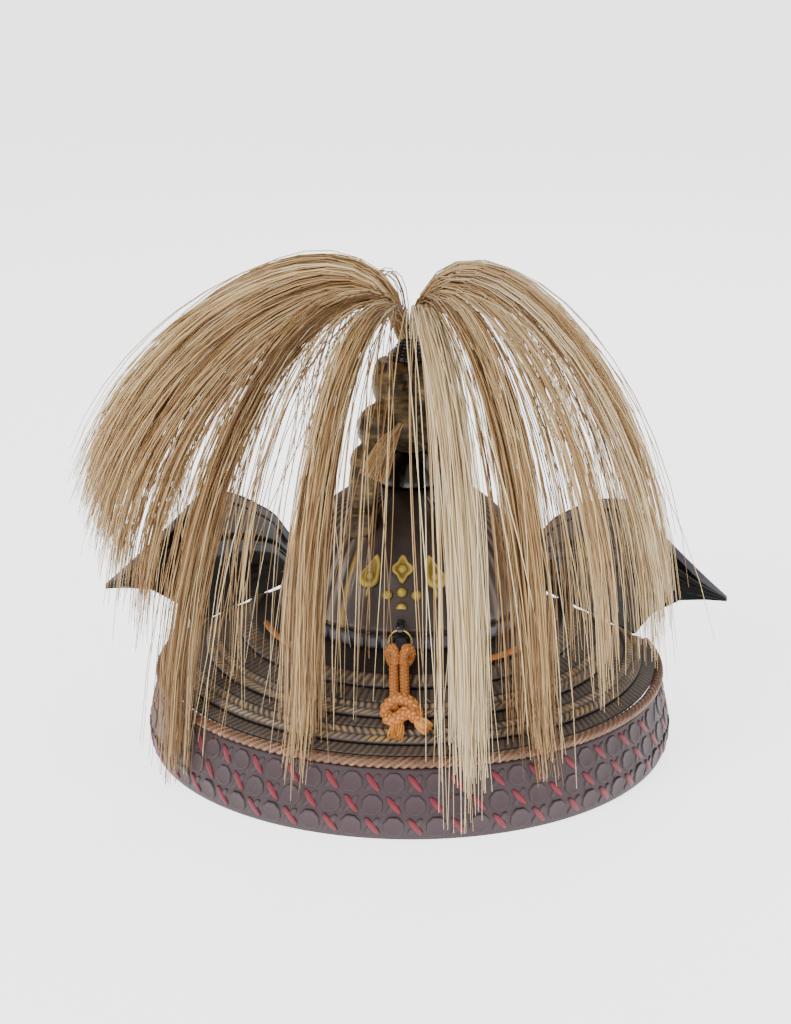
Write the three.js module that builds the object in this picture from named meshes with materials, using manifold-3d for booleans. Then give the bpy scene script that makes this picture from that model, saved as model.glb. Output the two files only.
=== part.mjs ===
// A kabuto: a ribbed bowl on a waist band, a wide neck guard of overlapping lames ending in a deep rim, two
// turned-back side wings, a peak, a crouching-beast crest and a two-sided horsehair plume. At the back a
// knotted cord hangs from a ring, and a cord stitch passes through each side of the top lame.
// Millimetres, +Z up, +Y the way the wearer faces. The helmet stands on its rim at z = 0.
import * as THREE from "three";
import { mergeVertices } from "three/addons/utils/BufferGeometryUtils.js";
import Module from "manifold-3d";

const wasm = await Module();
wasm.setup();

// Clearances and walls
const seatGap = 0.4; // between pieces that touch on the real helmet
const bowlWall = 3;
const waistWall = 5;
const lameWall = 2.2;
const rimWall = 3;
const wingWall = 3;
const visorWall = 2.6;

// Waist band and bowl
const waistHalfWidth = 103;
const waistHalfLength = 121;
const waistBottom = 112;
const waistHeight = 12;
const waistStep = 1.6; // how far the band stands outside the bowl
const domeDrop = 4; // how far the dome's widest level lies under the band
const domeRise = 103;
const ribPairs = 30; // ribs round half of the bowl, if none were left out
const ribHeight = 1.3;
const plainHalfAngle = 24; // the back of the bowl is plain this far each side of the middle

// Neck guard, measured along its slope from the waist band to the border rope
const guardRadius = 196.5;
const guardBottom = 60.5;
const guardEndAngle = 16; // degrees past the side, towards the face
const lameTuck = 2.6; // how far each lame runs up under the one above
const lacedFace = 1; // how far a lame's laced face lies below its edge
const cordBead = 2; // how far a raised lacing cord stands above its lame's edge
const borderRopeRadius = 4;

// Rim band, the lowest lame
const rimStandOut = 0.5; // how far its top face stands outside the middle of the border rope
const rimFlare = 9; // how far it widens below

// Side wings
const wingTipX = 258;
const wingPeakZ = 177.5;
const wingLean = 0.15; // how far a wing leans forward for each millimetre of height
const wingHollow = 11;
const wingFlange = 8;
const wingFlangeStep = 3.6;
const wingSeat = 0.7; // between a wing and the cut ends of the lames

// Visor over the brow
const visorReach = 34;
const visorHalfAngle = 38;
const visorDrop = 15;

// Crown boss
const bossRadius = 26;
const bossHeight = 25;

// Crest: a crouching beast and the bound neck above it
const crestHalfWidth = 44;
const crestHalfLength = 62;
const crestSink = 29; // how far the feet reach down below the crown
const neckRadius = 17;
const neckTopRadius = 9;
const neckHeight = 16;

// Plume and tail tuft
const plumeRootRise = 116; // above the crown
const plumeRootY = -10;
const plumeRootRadius = 5;
const plumeReach = 200;
const lockWidth = 44;
const lockThickness = 12;
const tuftLength = 46;
const tuftHalfWidth = 11;
const tuftRootRadius = 2.5;

// Ring on its staple, and the knotted cord
const ringRadius = 8.5;
const ringWire = 0.9;
const ringTilt = 20; // degrees that the ring's foot swings out from the helmet
const stapleWidth = 6;
const stapleEye = 2.4;
const stapleWall = 2.2;
const stapleStandOff = 4; // eye centre behind the waist band's face
const stapleLift = 7.5; // eye centre above the waist band
const cordDiameter = 7.4;
const hitchLobe = 7.5;
const knotHalfWidth = 12;
const knotHalfLength = 10;
const knotHalfDepth = 7;
const cordEndLength = 17;
const cordEndRadius = 7;

// Cord stitches on the top lame
const stitchDiameter = 4.6;
const stitchHole = 4.4;

// Relief on the back of the bowl
const reliefHeight = 2.4;
const flowerRadius = 10;
const leafLength = 28;
const leafWidth = 17;
const studRadius = 4.2;

// How finely curves are cut
const domeRows = 5;
const crownStart = 0.35; // the dome's first row lies this share of a row from the crown
const guardSteps = 34;
const waistSteps = 48;

const rad = THREE.MathUtils.degToRad;
const mix = THREE.MathUtils.lerp;
const back = -90; // the angle of the helmet's back, in degrees from +X
const sides = { left: -1, right: 1 };
const helmet = new THREE.Group();

const finishes = {
  lacquer: { color: 0x2e2624, roughness: 0.45, metalness: 0.15 },
  lame: { color: 0x554b43, roughness: 0.5, metalness: 0.2 },
  rim: { color: 0x58454a, roughness: 0.5, metalness: 0.1 },
  rope: { color: 0xa88664, roughness: 0.5, metalness: 0.3 },
  wing: { color: 0x141417, roughness: 0.15, metalness: 0 },
  crest: { color: 0x6d533b, roughness: 0.45, metalness: 0.35 },
  black: { color: 0x101112, roughness: 0.3, metalness: 0 },
  hair: { color: 0xc9a878, roughness: 0.6, metalness: 0 },
  cord: { color: 0xc67b2c, roughness: 0.75, metalness: 0 },
  brass: { color: 0xc8ad6a, roughness: 0.3, metalness: 0.9 },
  gilt: { color: 0x8d7a2c, roughness: 0.45, metalness: 0.6 },
};

// Adds one named piece to the helmet.
function addPiece(name, geometry, finish) {
  const mesh = new THREE.Mesh(geometry, new THREE.MeshStandardMaterial(finishes[finish]));
  mesh.name = name;
  helmet.add(mesh);
}

// A geometry of loose triangles from a list of corner points, turned to face outwards.
function geometryOf(corners) {
  let volume = 0;
  for (let i = 0; i < corners.length; i += 3) {
    volume += corners[i].dot(new THREE.Vector3().crossVectors(corners[i + 1], corners[i + 2]));
  }
  const positions = new Float32Array(corners.length * 3);
  for (let i = 0; i < corners.length; i += 3) {
    const order = volume < 0 ? [i, i + 2, i + 1] : [i, i + 1, i + 2];
    order.forEach((from, k) => corners[from].toArray(positions, (i + k) * 3));
  }
  const geometry = new THREE.BufferGeometry();
  geometry.setAttribute("position", new THREE.BufferAttribute(positions, 3));
  return geometry;
}

// A closed body through rings of points. An open run is capped at both ends; flat is the ring's outline in
// its own plane, for rings whose outline is hollow-sided.
function bodyThrough(rings, { goesRound = false, flat = null } = {}) {
  const corners = [];
  const count = rings[0].length;
  const spans = goesRound ? rings.length : rings.length - 1;
  for (let i = 0; i < spans; i++) {
    const near = rings[i];
    const far = rings[(i + 1) % rings.length];
    for (let j = 0; j < count; j++) {
      const k = (j + 1) % count;
      corners.push(near[j], near[k], far[k], near[j], far[k], far[j]);
    }
  }
  if (!goesRound) {
    const fan = Array.from({ length: count - 2 }, (_, j) => [0, j + 1, j + 2]);
    const caps = flat ? THREE.ShapeUtils.triangulateShape(flat, []) : fan;
    const turned = flat && THREE.ShapeUtils.area(flat) < 0;
    for (const [a, b, c] of caps) {
      const [p, q] = turned ? [c, b] : [b, c];
      corners.push(rings[0][a], rings[0][q], rings[0][p]);
      corners.push(rings.at(-1)[a], rings.at(-1)[p], rings.at(-1)[q]);
    }
  }
  return geometryOf(corners);
}

// A walled sheet from a front and a back grid of points, grid[column][row], closed round its edges.
function wallBetween(front, rear) {
  const rings = front.map((column, i) => [...column, ...rear[i].slice().reverse()]);
  const corners = [];
  const rows = front[0].length;
  const count = rows * 2;
  for (let i = 0; i < rings.length - 1; i++) {
    for (let j = 0; j < count; j++) {
      const k = (j + 1) % count;
      const [near, far] = [rings[i], rings[i + 1]];
      corners.push(near[j], near[k], far[k], near[j], far[k], far[j]);
    }
  }
  for (let j = 0; j < rows - 1; j++) {
    const [a, b, c, d] = [j, j + 1, count - 2 - j, count - 1 - j];
    corners.push(rings[0][a], rings[0][c], rings[0][b], rings[0][a], rings[0][d], rings[0][c]);
    corners.push(rings.at(-1)[a], rings.at(-1)[b], rings.at(-1)[c]);
    corners.push(rings.at(-1)[a], rings.at(-1)[c], rings.at(-1)[d]);
  }
  return geometryOf(corners);
}

// A closed geometry as a solid that can be joined and cut.
function solid(geometry) {
  const bare = new THREE.BufferGeometry();
  const loose = geometry.index ? geometry.toNonIndexed() : geometry;
  bare.setAttribute("position", loose.getAttribute("position").clone());
  const merged = mergeVertices(bare, 1e-4);
  return new wasm.Manifold(
    new wasm.Mesh({
      numProp: 3,
      vertProperties: merged.attributes.position.array,
      triVerts: new Uint32Array(merged.index.array),
    }),
  );
}

// A solid back as a geometry.
function geometryFrom(manifold) {
  const mesh = manifold.getMesh();
  const geometry = new THREE.BufferGeometry();
  geometry.setAttribute("position", new THREE.BufferAttribute(new Float32Array(mesh.vertProperties), 3));
  geometry.setIndex(new THREE.BufferAttribute(new Uint32Array(mesh.triVerts), 1));
  return geometry;
}

// An upright turned body from a table of radius and height.
function turned(profile, segments) {
  const points = profile.map(([radius, z]) => new THREE.Vector2(radius, z));
  return new THREE.LatheGeometry(points, segments).rotateX(Math.PI / 2);
}

const point = (x, y, z) => new THREE.Vector3(x, y, z);
const heading = (angle) => point(Math.cos(rad(angle)), Math.sin(rad(angle)), 0);

// A point on a level ellipse.
function onEllipse(halfWidth, halfLength, angle, z) {
  const d = heading(angle);
  return point(halfWidth * d.x, halfLength * d.y, z);
}

// Dome of the bowl. tilt is 0 at the crown and 90 degrees at the widest level; more grows the dome.
const waistTop = waistBottom + waistHeight;
const domeCentreZ = waistBottom - domeDrop;
const domeFoot = waistTop + seatGap;
const crownZ = domeCentreZ + domeRise;
const crestFoot = crownZ - crestSink;
const plumeRootZ = crownZ + plumeRootRise;
const footTilt = THREE.MathUtils.radToDeg(Math.acos((domeFoot - domeCentreZ) / domeRise));
function onDome(angle, tilt, more) {
  const out = Math.sin(rad(tilt));
  const grown = more - waistStep;
  const z = domeCentreZ + (domeRise + more) * Math.cos(rad(tilt));
  return onEllipse((waistHalfWidth + grown) * out, (waistHalfLength + grown) * out, angle, z);
}

// The dome as a filled body. Its ribs stand on every second station, but none on the plain back, and fade
// out towards the crown. With skirt it runs on below the foot.
function domeBody(more, { ribbed = false, stations = 2 * ribPairs, skirt = 0 } = {}) {
  const rings = [];
  for (let j = 0; j <= domeRows; j++) {
    const share = (j + crownStart) / (domeRows + crownStart);
    const tilt = footTilt * share;
    const ring = [];
    for (let i = 0; i < stations; i++) {
      const turn = (i * 360) / stations;
      const fromBack = Math.min(turn, 360 - turn);
      const raised = ribbed && i % 2 && j > 1 && fromBack > plainHalfAngle ? ribHeight : 0;
      const p = onDome(back + turn, tilt, more + raised);
      if (j === domeRows) p.z = domeFoot;
      ring.push(p);
    }
    rings.push(ring);
  }
  if (skirt) rings.push(rings.at(-1).map((p) => point(p.x, p.y, p.z - skirt)));
  return bodyThrough(rings);
}
const crownSeat = solid(domeBody(seatGap, { skirt: waistHeight }));
const ribSeat = solid(domeBody(seatGap + ribHeight, { skirt: waistHeight }));

function bowl() {
  const hollow = solid(domeBody(-bowlWall, { stations: 1.5 * ribPairs, skirt: waistHeight }));
  const outside = solid(domeBody(0, { ribbed: true, stations: 4 * ribPairs }));
  return geometryFrom(outside.subtract(hollow));
}

// The upright band between the bowl and the neck guard, eased at its top edge.
function waistBand() {
  const ease = 1.4;
  const section = [
    [0, waistBottom],
    [0, waistTop - ease],
    [ease / 2, waistTop],
    [waistWall, waistTop],
    [waistWall, waistBottom],
  ];
  const rings = Array.from({ length: waistSteps }, (_, i) => {
    const angle = (i * 360) / waistSteps;
    return section.map(([inset, z]) => {
      return onEllipse(waistHalfWidth - inset, waistHalfLength - inset, angle, z);
    });
  });
  return bodyThrough(rings, { goesRound: true });
}

// A point on the neck guard: share runs down its slope, and lift is measured square to it.
const guardSlope = Math.atan2(waistBottom - guardBottom, guardRadius - waistHalfLength);
const guardRun = Math.hypot(waistBottom - guardBottom, guardRadius - waistHalfLength);
function onGuard(angle, share, lift) {
  const out = lift * Math.sin(guardSlope);
  const halfWidth = mix(waistHalfWidth, guardRadius, share) + out;
  const halfLength = mix(waistHalfLength, guardRadius, share) + out;
  const z = mix(waistBottom, guardBottom, share) + lift * Math.cos(guardSlope);
  return onEllipse(halfWidth, halfLength, angle, z);
}

// Runs a section, a closed outline of pairs, round the neck guard from one front end to the other.
function roundGuard(section, place) {
  const halfTurn = 90 + guardEndAngle;
  const rings = Array.from({ length: guardSteps + 1 }, (_, i) => {
    const angle = mix(back - halfTurn, back + halfTurn, i / guardSteps);
    return section.map(([u, v]) => place(angle, u, v));
  });
  const flat = section.map(([u, v]) => new THREE.Vector2(u * guardRun, v));
  return bodyThrough(rings, { flat });
}

// Lames from the top down. Shares run along the guard's slope; cords are the middles of the raised lacing
// cords, and half is half a cord's width.
const lames = [
  { from: 0, to: 0.352, cords: [0.29], half: 0.056 },
  { from: 0.352, to: 0.638, cords: [0.532, 0.6], half: 0.034 },
  { from: 0.638, to: 0.885, cords: [0.775, 0.845], half: 0.034 },
  { from: 0.885, to: 1, cords: [], half: 0 },
];
const tuck = lameTuck / guardRun;
const lipBack = 1.3 * tuck; // how far a lame's lip runs level behind
const lameStep = lameWall + seatGap; // how far a lame's tucked edge lies below the edge above it

// The outline of one lame: its face from the tucked edge to the lip, then its back.
function lameSection({ from, to, cords, half }) {
  const face = [
    [from - tuck, -lameStep],
    [from, -lameStep],
  ];
  if (cords.length) face.push([cords[0] - half, -lacedFace]);
  cords.forEach((middle, i) => {
    if (i > 0) face.push([(cords[i - 1] + middle) / 2, 0]);
    face.push([middle, cordBead]);
  });
  face.push([to, 0]);
  return [...face, [to, -lameWall], [to - lipBack, -lameWall], [from - tuck, -lameStep - lameWall]];
}

function lame(row) {
  return roundGuard(lameSection(row), onGuard);
}

// A stitch lies on the top lame between two holes, and runs back under it. Angles are in degrees from the
// helmet's back, and shares run down the guard's slope.
const stitchEnds = [
  { angle: 31.5, share: 0.173 },
  { angle: 69, share: 0.147 },
];
const stitchAbove = stitchDiameter / 2 + seatGap - lacedFace;
const stitchBelow = -(lameStep + lameWall + stitchDiameter / 2 + seatGap);
const stitchMiddle = (stitchAbove + stitchBelow) / 2;
function onStitch(side, t, lift) {
  const [first, last] = stitchEnds;
  return onGuard(back + side * mix(first.angle, last.angle, t), mix(first.share, last.share, t), lift);
}

function topLame() {
  let sheet = solid(lame(lames[0]));
  for (const side of Object.values(sides)) {
    for (const t of [0, 1]) {
      const centre = onStitch(side, t, stitchMiddle);
      const outward = onStitch(side, t, stitchMiddle + 1).sub(centre);
      const drill = new THREE.CylinderGeometry(stitchHole, stitchHole, 4 * lameStep, 10);
      drill.applyQuaternion(new THREE.Quaternion().setFromUnitVectors(point(0, 1, 0), outward.normalize()));
      drill.translate(...centre.toArray());
      sheet = sheet.subtract(solid(drill));
    }
  }
  return geometryFrom(sheet);
}

function stitch(side) {
  const steps = [0, 0.25, 0.5, 0.75, 1];
  const run = (lift, from, to) => steps.map((t) => onStitch(side, mix(from, to, t), lift));
  const inset = 0.03; // the stitch turns down inside its holes
  const route = [
    ...run(stitchAbove, inset, 1 - inset),
    onStitch(side, 1, stitchMiddle),
    ...run(stitchBelow, 1 - inset, inset),
    onStitch(side, 0, stitchMiddle),
  ];
  const curve = new THREE.CatmullRomCurve3(route, true, "centripetal");
  return new THREE.TubeGeometry(curve, 20, stitchDiameter / 2, 6, true);
}

// The rope moulding that closes the joint between the last lame and the rim band.
const ropeAhead = borderRopeRadius + seatGap;
const ropeOut = guardRadius + ropeAhead * Math.cos(guardSlope) - (lameWall / 2) * Math.sin(guardSlope);
const ropeZ = guardBottom - ropeAhead * Math.sin(guardSlope) - (lameWall / 2) * Math.cos(guardSlope);
const rimTop = ropeZ - borderRopeRadius - seatGap;
function borderRope() {
  const count = 6;
  const firstTurn = 25;
  const section = Array.from({ length: count }, (_, j) => {
    const turn = rad(firstTurn + (j * 360) / count);
    return [borderRopeRadius * Math.cos(turn), borderRopeRadius * Math.sin(turn)];
  });
  return roundGuard(section, (angle, u, v) => onEllipse(ropeOut + u, ropeOut + u, angle, ropeZ + v));
}

// The rim band. out is a share of its flare from the top radius, and up of its height.
const rimFace = [
  { out: 0, up: 1 },
  { out: 0.45, up: 0.68 },
  { out: 0.83, up: 0.42 },
  { out: 1, up: 0.25 },
  { out: 0.8, up: 0 },
];
function rimBand() {
  const topRadius = ropeOut + rimStandOut;
  const inner = [rimFace[4], rimFace[3], rimFace[0]];
  const section = [
    ...rimFace.map(({ out, up }) => [topRadius + out * rimFlare, up * rimTop]),
    ...inner.map(({ out, up }) => [topRadius + out * rimFlare - rimWall, up * rimTop]),
  ];
  const halfTurn = 90 + guardEndAngle;
  const rings = Array.from({ length: guardSteps + 1 }, (_, i) => {
    const angle = mix(back - halfTurn, back + halfTurn, i / guardSteps);
    return section.map(([radius, z]) => onEllipse(radius, radius, angle, z));
  });
  return bodyThrough(rings, { flat: section.map(([radius, z]) => new THREE.Vector2(radius, z)) });
}

// A wing in upright columns from its root to its tip. across is a share of the tip's distance, top and low
// of the peak's height; columns with no low edge of their own stand on the cut ends of the lames.
const wingColumns = [
  { across: 0.39, top: 0.845, hollow: 0.3 },
  { across: 0.44, top: 0.925, hollow: 0.8 },
  { across: 0.5, top: 0.965, hollow: 1 },
  { across: 0.55, top: 0.99, hollow: 1 },
  { across: 0.6, top: 1, hollow: 1 },
  { across: 0.67, top: 0.986, hollow: 1 },
  { across: 0.71, top: 0.945, hollow: 0.9 },
  { across: 0.765, top: 0.862, low: 0.457, hollow: 0.8 },
  { across: 0.85, top: 0.74, low: 0.52, hollow: 0.5 },
  { across: 0.93, top: 0.63, low: 0.525, hollow: 0.2 },
  { across: 1, top: 0.54, low: 0.52, hollow: 0 },
];
function wing(side) {
  const out = heading(guardEndAngle);
  const front = wingColumns.map((column) => {
    const x = column.across * wingTipX;
    const share = (x / out.x - waistHalfWidth) / (guardRadius - waistHalfWidth);
    const root = onGuard(guardEndAngle, Math.min(1, share), 0);
    const lowZ = column.low ? column.low * wingPeakZ : root.z;
    const topZ = column.top * wingPeakZ;
    const flange = Math.min(0.35, wingFlange / (topZ - lowZ));
    return [0, 0.25, 0.55, 0.97 - flange, 1 - flange, 1].map((v) => {
      const z = mix(lowZ, topZ, v);
      const step = v < 1 - flange ? wingFlangeStep * Math.min(1, 4 * v) : 0;
      const bow = wingHollow * Math.sin(Math.PI * v) + step;
      const y = root.y + (wingSeat + wingWall) / out.x + wingLean * (z - root.z) + bow * column.hollow;
      return point(side * x, y, z);
    });
  });
  const rear = front.map((column) => column.map((p) => point(p.x, p.y - wingWall, p.z)));
  return wallBetween(front, rear);
}

// The visor hangs from the front of the waist band. Rows run outwards as shares of its reach and drop.
function visor() {
  const steps = 12;
  const rows = [
    { out: 0, down: 0 },
    { out: 0.35, down: 0.2 },
    { out: 0.75, down: 0.6 },
    { out: 1, down: 1 },
  ];
  const top = waistBottom + waistHeight / 2;
  const columns = Array.from({ length: steps + 1 }, (_, i) => {
    const swing = mix(-1, 1, i / steps);
    const angle = 90 - swing * visorHalfAngle;
    const reach = visorReach * Math.sqrt(1 - 0.9 * swing * swing);
    return rows.map(({ out, down }) => {
      const stand = seatGap + out * reach;
      return onEllipse(waistHalfWidth + stand, waistHalfLength + stand, angle, top - down * visorDrop);
    });
  });
  const under = columns.map((column) => column.map((p) => point(p.x, p.y, p.z - visorWall)));
  return wallBetween(columns, under);
}

// The black boss on the crown. Rows are shares of its radius and height.
const bossProfile = [
  { out: 0, up: -0.25 },
  { out: 1, up: -0.25 },
  { out: 0.96, up: 0.2 },
  { out: 0.8, up: 0.6 },
  { out: 0.45, up: 0.92 },
  { out: 0, up: 1 },
];
function bossBody(more) {
  const profile = bossProfile.map(({ out, up }) => [
    out * (bossRadius + more),
    crownZ + up * bossHeight + (up > 0 ? more : 0),
  ]);
  return solid(turned(profile, 12));
}
function crownBoss() {
  return geometryFrom(bossBody(0).subtract(solid(domeBody(1.2 * seatGap, { stations: ribPairs }))));
}

// The beast is built from rounded masses and blocks. Places and half sizes are shares of the crest's half
// width (x), half length (y) and height above its feet (z). Paired masses are mirrored.
const neckBottom = plumeRootZ - seatGap - neckHeight;
const crestHeight = neckBottom - seatGap - crestFoot;
const beastMasses = [
  { shape: "round", at: [0, -0.18, 0.62], half: [0.68, 0.44, 0.25], paired: false }, // body
  { shape: "round", at: [0.5, -0.42, 0.6], half: [0.39, 0.34, 0.15], paired: true }, // hips
  { shape: "round", at: [0.66, -0.68, 0.42], half: [0.34, 0.28, 0.14], paired: true }, // knees
  { shape: "block", at: [0.74, -0.82, 0.26], half: [0.24, 0.15, 0.22], paired: true }, // shanks
  { shape: "block", at: [0.76, -0.98, 0.06], half: [0.27, 0.2, 0.09], paired: true }, // hind feet
  { shape: "round", at: [0.3, -0.22, 0.86], half: [0.36, 0.34, 0.2], paired: true }, // shoulders
  { shape: "round", at: [0.46, 0.42, 0.42], half: [0.26, 0.26, 0.34], paired: true }, // forelegs
  { shape: "block", at: [0.54, 0.6, 0.14], half: [0.26, 0.24, 0.08], paired: true }, // forefeet
  { shape: "round", at: [0, 0.34, 0.8], half: [0.52, 0.42, 0.18], paired: false }, // head
  { shape: "block", at: [0, 0.74, 0.74], half: [0.28, 0.2, 0.08], paired: false }, // muzzle
];
const beastShapes = {
  round: () => new THREE.SphereGeometry(1, 7, 4).rotateX(Math.PI / 2),
  block: () => new THREE.BoxGeometry(2, 2, 2),
};

// Where the tail tuft leaves the beast's back, and the way it falls.
const tuftRoot = point(-0.15 * crestHalfWidth, -0.62 * crestHalfLength, crestFoot + 0.62 * crestHeight);
const tuftFall = point(-0.4, -0.6, -0.7).normalize();

// The short tuft behind the beast: a thin root in its socket, then a flat fan; more grows it all round.
function tuftBody(more) {
  const rows = [
    { along: -0.15, wide: tuftRootRadius, thick: tuftRootRadius },
    { along: 0.1, wide: tuftRootRadius, thick: tuftRootRadius },
    { along: 0.55, wide: 0.7 * tuftHalfWidth, thick: tuftRootRadius },
    { along: 1, wide: tuftHalfWidth, thick: 0.6 * tuftRootRadius },
  ];
  const across = point(1, 0, 0).projectOnPlane(tuftFall).normalize();
  const square = new THREE.Vector3().crossVectors(tuftFall, across);
  const rings = rows.map(({ along, wide, thick }) =>
    Array.from({ length: 8 }, (_, j) => {
      const turn = (j / 8) * 2 * Math.PI;
      return tuftRoot
        .clone()
        .addScaledVector(tuftFall, along * tuftLength + (along < 0 ? -more : more))
        .addScaledVector(across, (wide + more) * Math.cos(turn))
        .addScaledVector(square, (thick + 1.1 * more) * Math.sin(turn));
    }),
  );
  return bodyThrough(rings);
}

function beast() {
  const scale = [crestHalfWidth, crestHalfLength, crestHeight];
  let whole = null;
  for (const { shape, at, half, paired } of beastMasses) {
    for (const side of paired ? [-1, 1] : [1]) {
      const geometry = beastShapes[shape]();
      geometry.scale(...half.map((share, k) => share * scale[k]));
      geometry.translate(side * at[0] * scale[0], at[1] * scale[1], crestFoot + at[2] * scale[2]);
      whole = whole ? whole.add(solid(geometry)) : solid(geometry);
    }
  }
  // The feet sit on the bowl, the belly clears the boss, the back is level under the bound neck, and the
  // tuft lies in a hollow of its own.
  const above = new THREE.BoxGeometry(4 * crestHalfWidth, 4 * crestHalfLength, crestHeight);
  above.translate(0, 0, neckBottom - seatGap + crestHeight / 2);
  const cuts = [ribSeat, bossBody(seatGap), solid(above), solid(tuftBody(seatGap))];
  return geometryFrom(cuts.reduce((left, cut) => left.subtract(cut), whole));
}

// The bound neck that the plume grows from. Rows are shares of its radius and height.
function crestNeck() {
  const slim = neckTopRadius / neckRadius;
  const rows = [
    [0, 0],
    [1, 0],
    [1, 0.2],
    [mix(slim, 1, 0.35), 0.5],
    [slim, 0.8],
    [slim, 1],
    [0, 1],
  ];
  const profile = rows.map(([out, up]) => [out * neckRadius, neckBottom + up * neckHeight]);
  return turned(profile, 12).translate(0, plumeRootY, 0);
}

// Locks of the plume. angle is the way a lock falls, in degrees from +X; reach is a share of the plume's
// reach; rise and shoulder are the two handles of its arch and tip its end, as shares of the root's height;
// width is a share of the usual lock width.
const plumeLocks = {
  left: [
    { angle: 179, reach: 1.247, rise: 1.38, shoulder: 1.2, tip: 0.56, width: 1.3 },
    { angle: 187, reach: 1.13, rise: 1.36, shoulder: 1.16, tip: 0.38, width: 1.2 },
    { angle: 199, reach: 1.06, rise: 1.32, shoulder: 1.12, tip: 0.27, width: 1 },
    { angle: 214, reach: 1.06, rise: 1.28, shoulder: 1.08, tip: 0.16, width: 1 },
    { angle: 243, reach: 0.98, rise: 1.22, shoulder: 1.08, tip: 0.23, width: 0.8 },
    { angle: 156, reach: 1.05, rise: 1.32, shoulder: 1.14, tip: 0.5, width: 1 },
    { angle: 124, reach: 0.8, rise: 1.26, shoulder: 1.1, tip: 0.62, width: 0.9 },
  ],
  right: [
    { angle: 277, reach: 0.94, rise: 1.22, shoulder: 1.04, tip: 0.23, width: 1 },
    { angle: 301, reach: 1.0, rise: 1.28, shoulder: 1.08, tip: 0.2, width: 0.9 },
    { angle: 320, reach: 1.02, rise: 1.3, shoulder: 1.1, tip: 0.16, width: 0.9 },
    { angle: 337, reach: 1.04, rise: 1.32, shoulder: 1.13, tip: 0.16, width: 0.9 },
    { angle: 353, reach: 1.03, rise: 1.34, shoulder: 1.14, tip: 0.33, width: 1 },
    { angle: 15, reach: 1.0, rise: 1.32, shoulder: 1.14, tip: 0.46, width: 1 },
    { angle: 48, reach: 0.8, rise: 1.26, shoulder: 1.1, tip: 0.62, width: 0.9 },
  ],
};

// One lock: a flat tapering body along its arch.
function lock(row, root) {
  const steps = 7;
  const count = 4;
  const out = heading(row.angle);
  const across = heading(row.angle + 90);
  const far = row.reach * plumeReach;
  const place = (ahead, up) => root.clone().addScaledVector(out, ahead).setZ(up * plumeRootZ);
  const handles = [place(0.12 * far, row.rise), place(0.95 * far, row.shoulder)];
  const arch = new THREE.CubicBezierCurve3(root, ...handles, place(far, row.tip));
  const rings = Array.from({ length: steps + 1 }, (_, i) => {
    const u = i / steps;
    const square = new THREE.Vector3().crossVectors(arch.getTangent(u), across).normalize();
    const swell = Math.min(1, u / 0.45) * mix(1, 0.4, Math.max(0, (u - 0.55) / 0.45));
    const halfWidth = mix(plumeRootRadius, (lockWidth * row.width) / 2, Math.sin((Math.PI / 2) * swell));
    const halfThick = mix(lockThickness / 2, lockThickness / 4, u);
    return Array.from({ length: count }, (_, j) => {
      const turn = (j / count) * 2 * Math.PI;
      return arch
        .getPoint(u)
        .addScaledVector(across, halfWidth * Math.cos(turn))
        .addScaledVector(square, halfThick * Math.sin(turn));
    });
  });
  return solid(bodyThrough(rings));
}

// One side of the plume: its locks fused to a bound root, cut square at the parting and over the neck.
function plume(sideName) {
  const side = sides[sideName];
  const root = point(side * (plumeRootRadius + seatGap), plumeRootY, plumeRootZ + plumeRootRadius);
  const knob = new THREE.CylinderGeometry(plumeRootRadius, plumeRootRadius, 3 * plumeRootRadius, 8);
  knob.rotateX(Math.PI / 2).translate(root.x, root.y, plumeRootZ + 1.5 * plumeRootRadius);
  const whole = plumeLocks[sideName].reduce((left, row) => left.add(lock(row, root)), solid(knob));
  const span = 6 * plumeReach;
  const beyond = new THREE.BoxGeometry(span, span, span).translate(side * (seatGap / 2 - span / 2), 0, 0);
  const under = new THREE.CylinderGeometry(2 * neckRadius, 2 * neckRadius, neckHeight, 12);
  under.rotateX(Math.PI / 2).translate(0, plumeRootY, plumeRootZ - neckHeight / 2);
  return geometryFrom(whole.subtract(solid(beyond)).subtract(solid(under)));
}

// The staple's eye stands behind the waist band, and the ring hangs in it.
const eyeCentre = point(0, -(waistHalfLength + stapleStandOff), waistTop + stapleLift);
function ringStaple() {
  const outer = stapleEye + stapleWall;
  const root = -2 * (stapleStandOff + waistStep + outer);
  const outline = new THREE.Shape();
  outline.moveTo(root, -outer);
  outline.lineTo(0, -outer);
  outline.absarc(0, 0, outer, -Math.PI / 2, Math.PI / 2, false);
  outline.lineTo(root, outer);
  outline.closePath();
  outline.holes.push(new THREE.Path().absarc(0, 0, stapleEye, 0, 2 * Math.PI, true));
  const cut = { depth: stapleWidth, bevelEnabled: false, curveSegments: 6 };
  const plate = new THREE.ExtrudeGeometry(outline, cut);
  plate.translate(0, 0, -stapleWidth / 2);
  plate.applyMatrix4(new THREE.Matrix4().makeBasis(point(0, -1, 0), point(0, 0, 1), point(-1, 0, 0)));
  plate.translate(...eyeCentre.toArray());
  return geometryFrom(solid(plate).subtract(crownSeat));
}

// The ring's top wire rests low in the eye, and the ring's foot swings out from the helmet.
const ringSag = ringRadius - Math.sqrt(ringRadius ** 2 - (stapleWidth / 2) ** 2);
const ringDrop = stapleEye - ringWire - ringSag - seatGap / 2;
const ringFall = point(0, -Math.sin(rad(ringTilt)), -Math.cos(rad(ringTilt))).multiplyScalar(ringRadius);
const ringCentre = eyeCentre.clone().add(ringFall).add(point(0, 0, -ringDrop));
function ringBody(wire) {
  const torus = new THREE.TorusGeometry(ringRadius, wire, 5, 14);
  return torus.rotateX(Math.PI / 2 - rad(ringTilt)).translate(...ringCentre.toArray());
}

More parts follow.
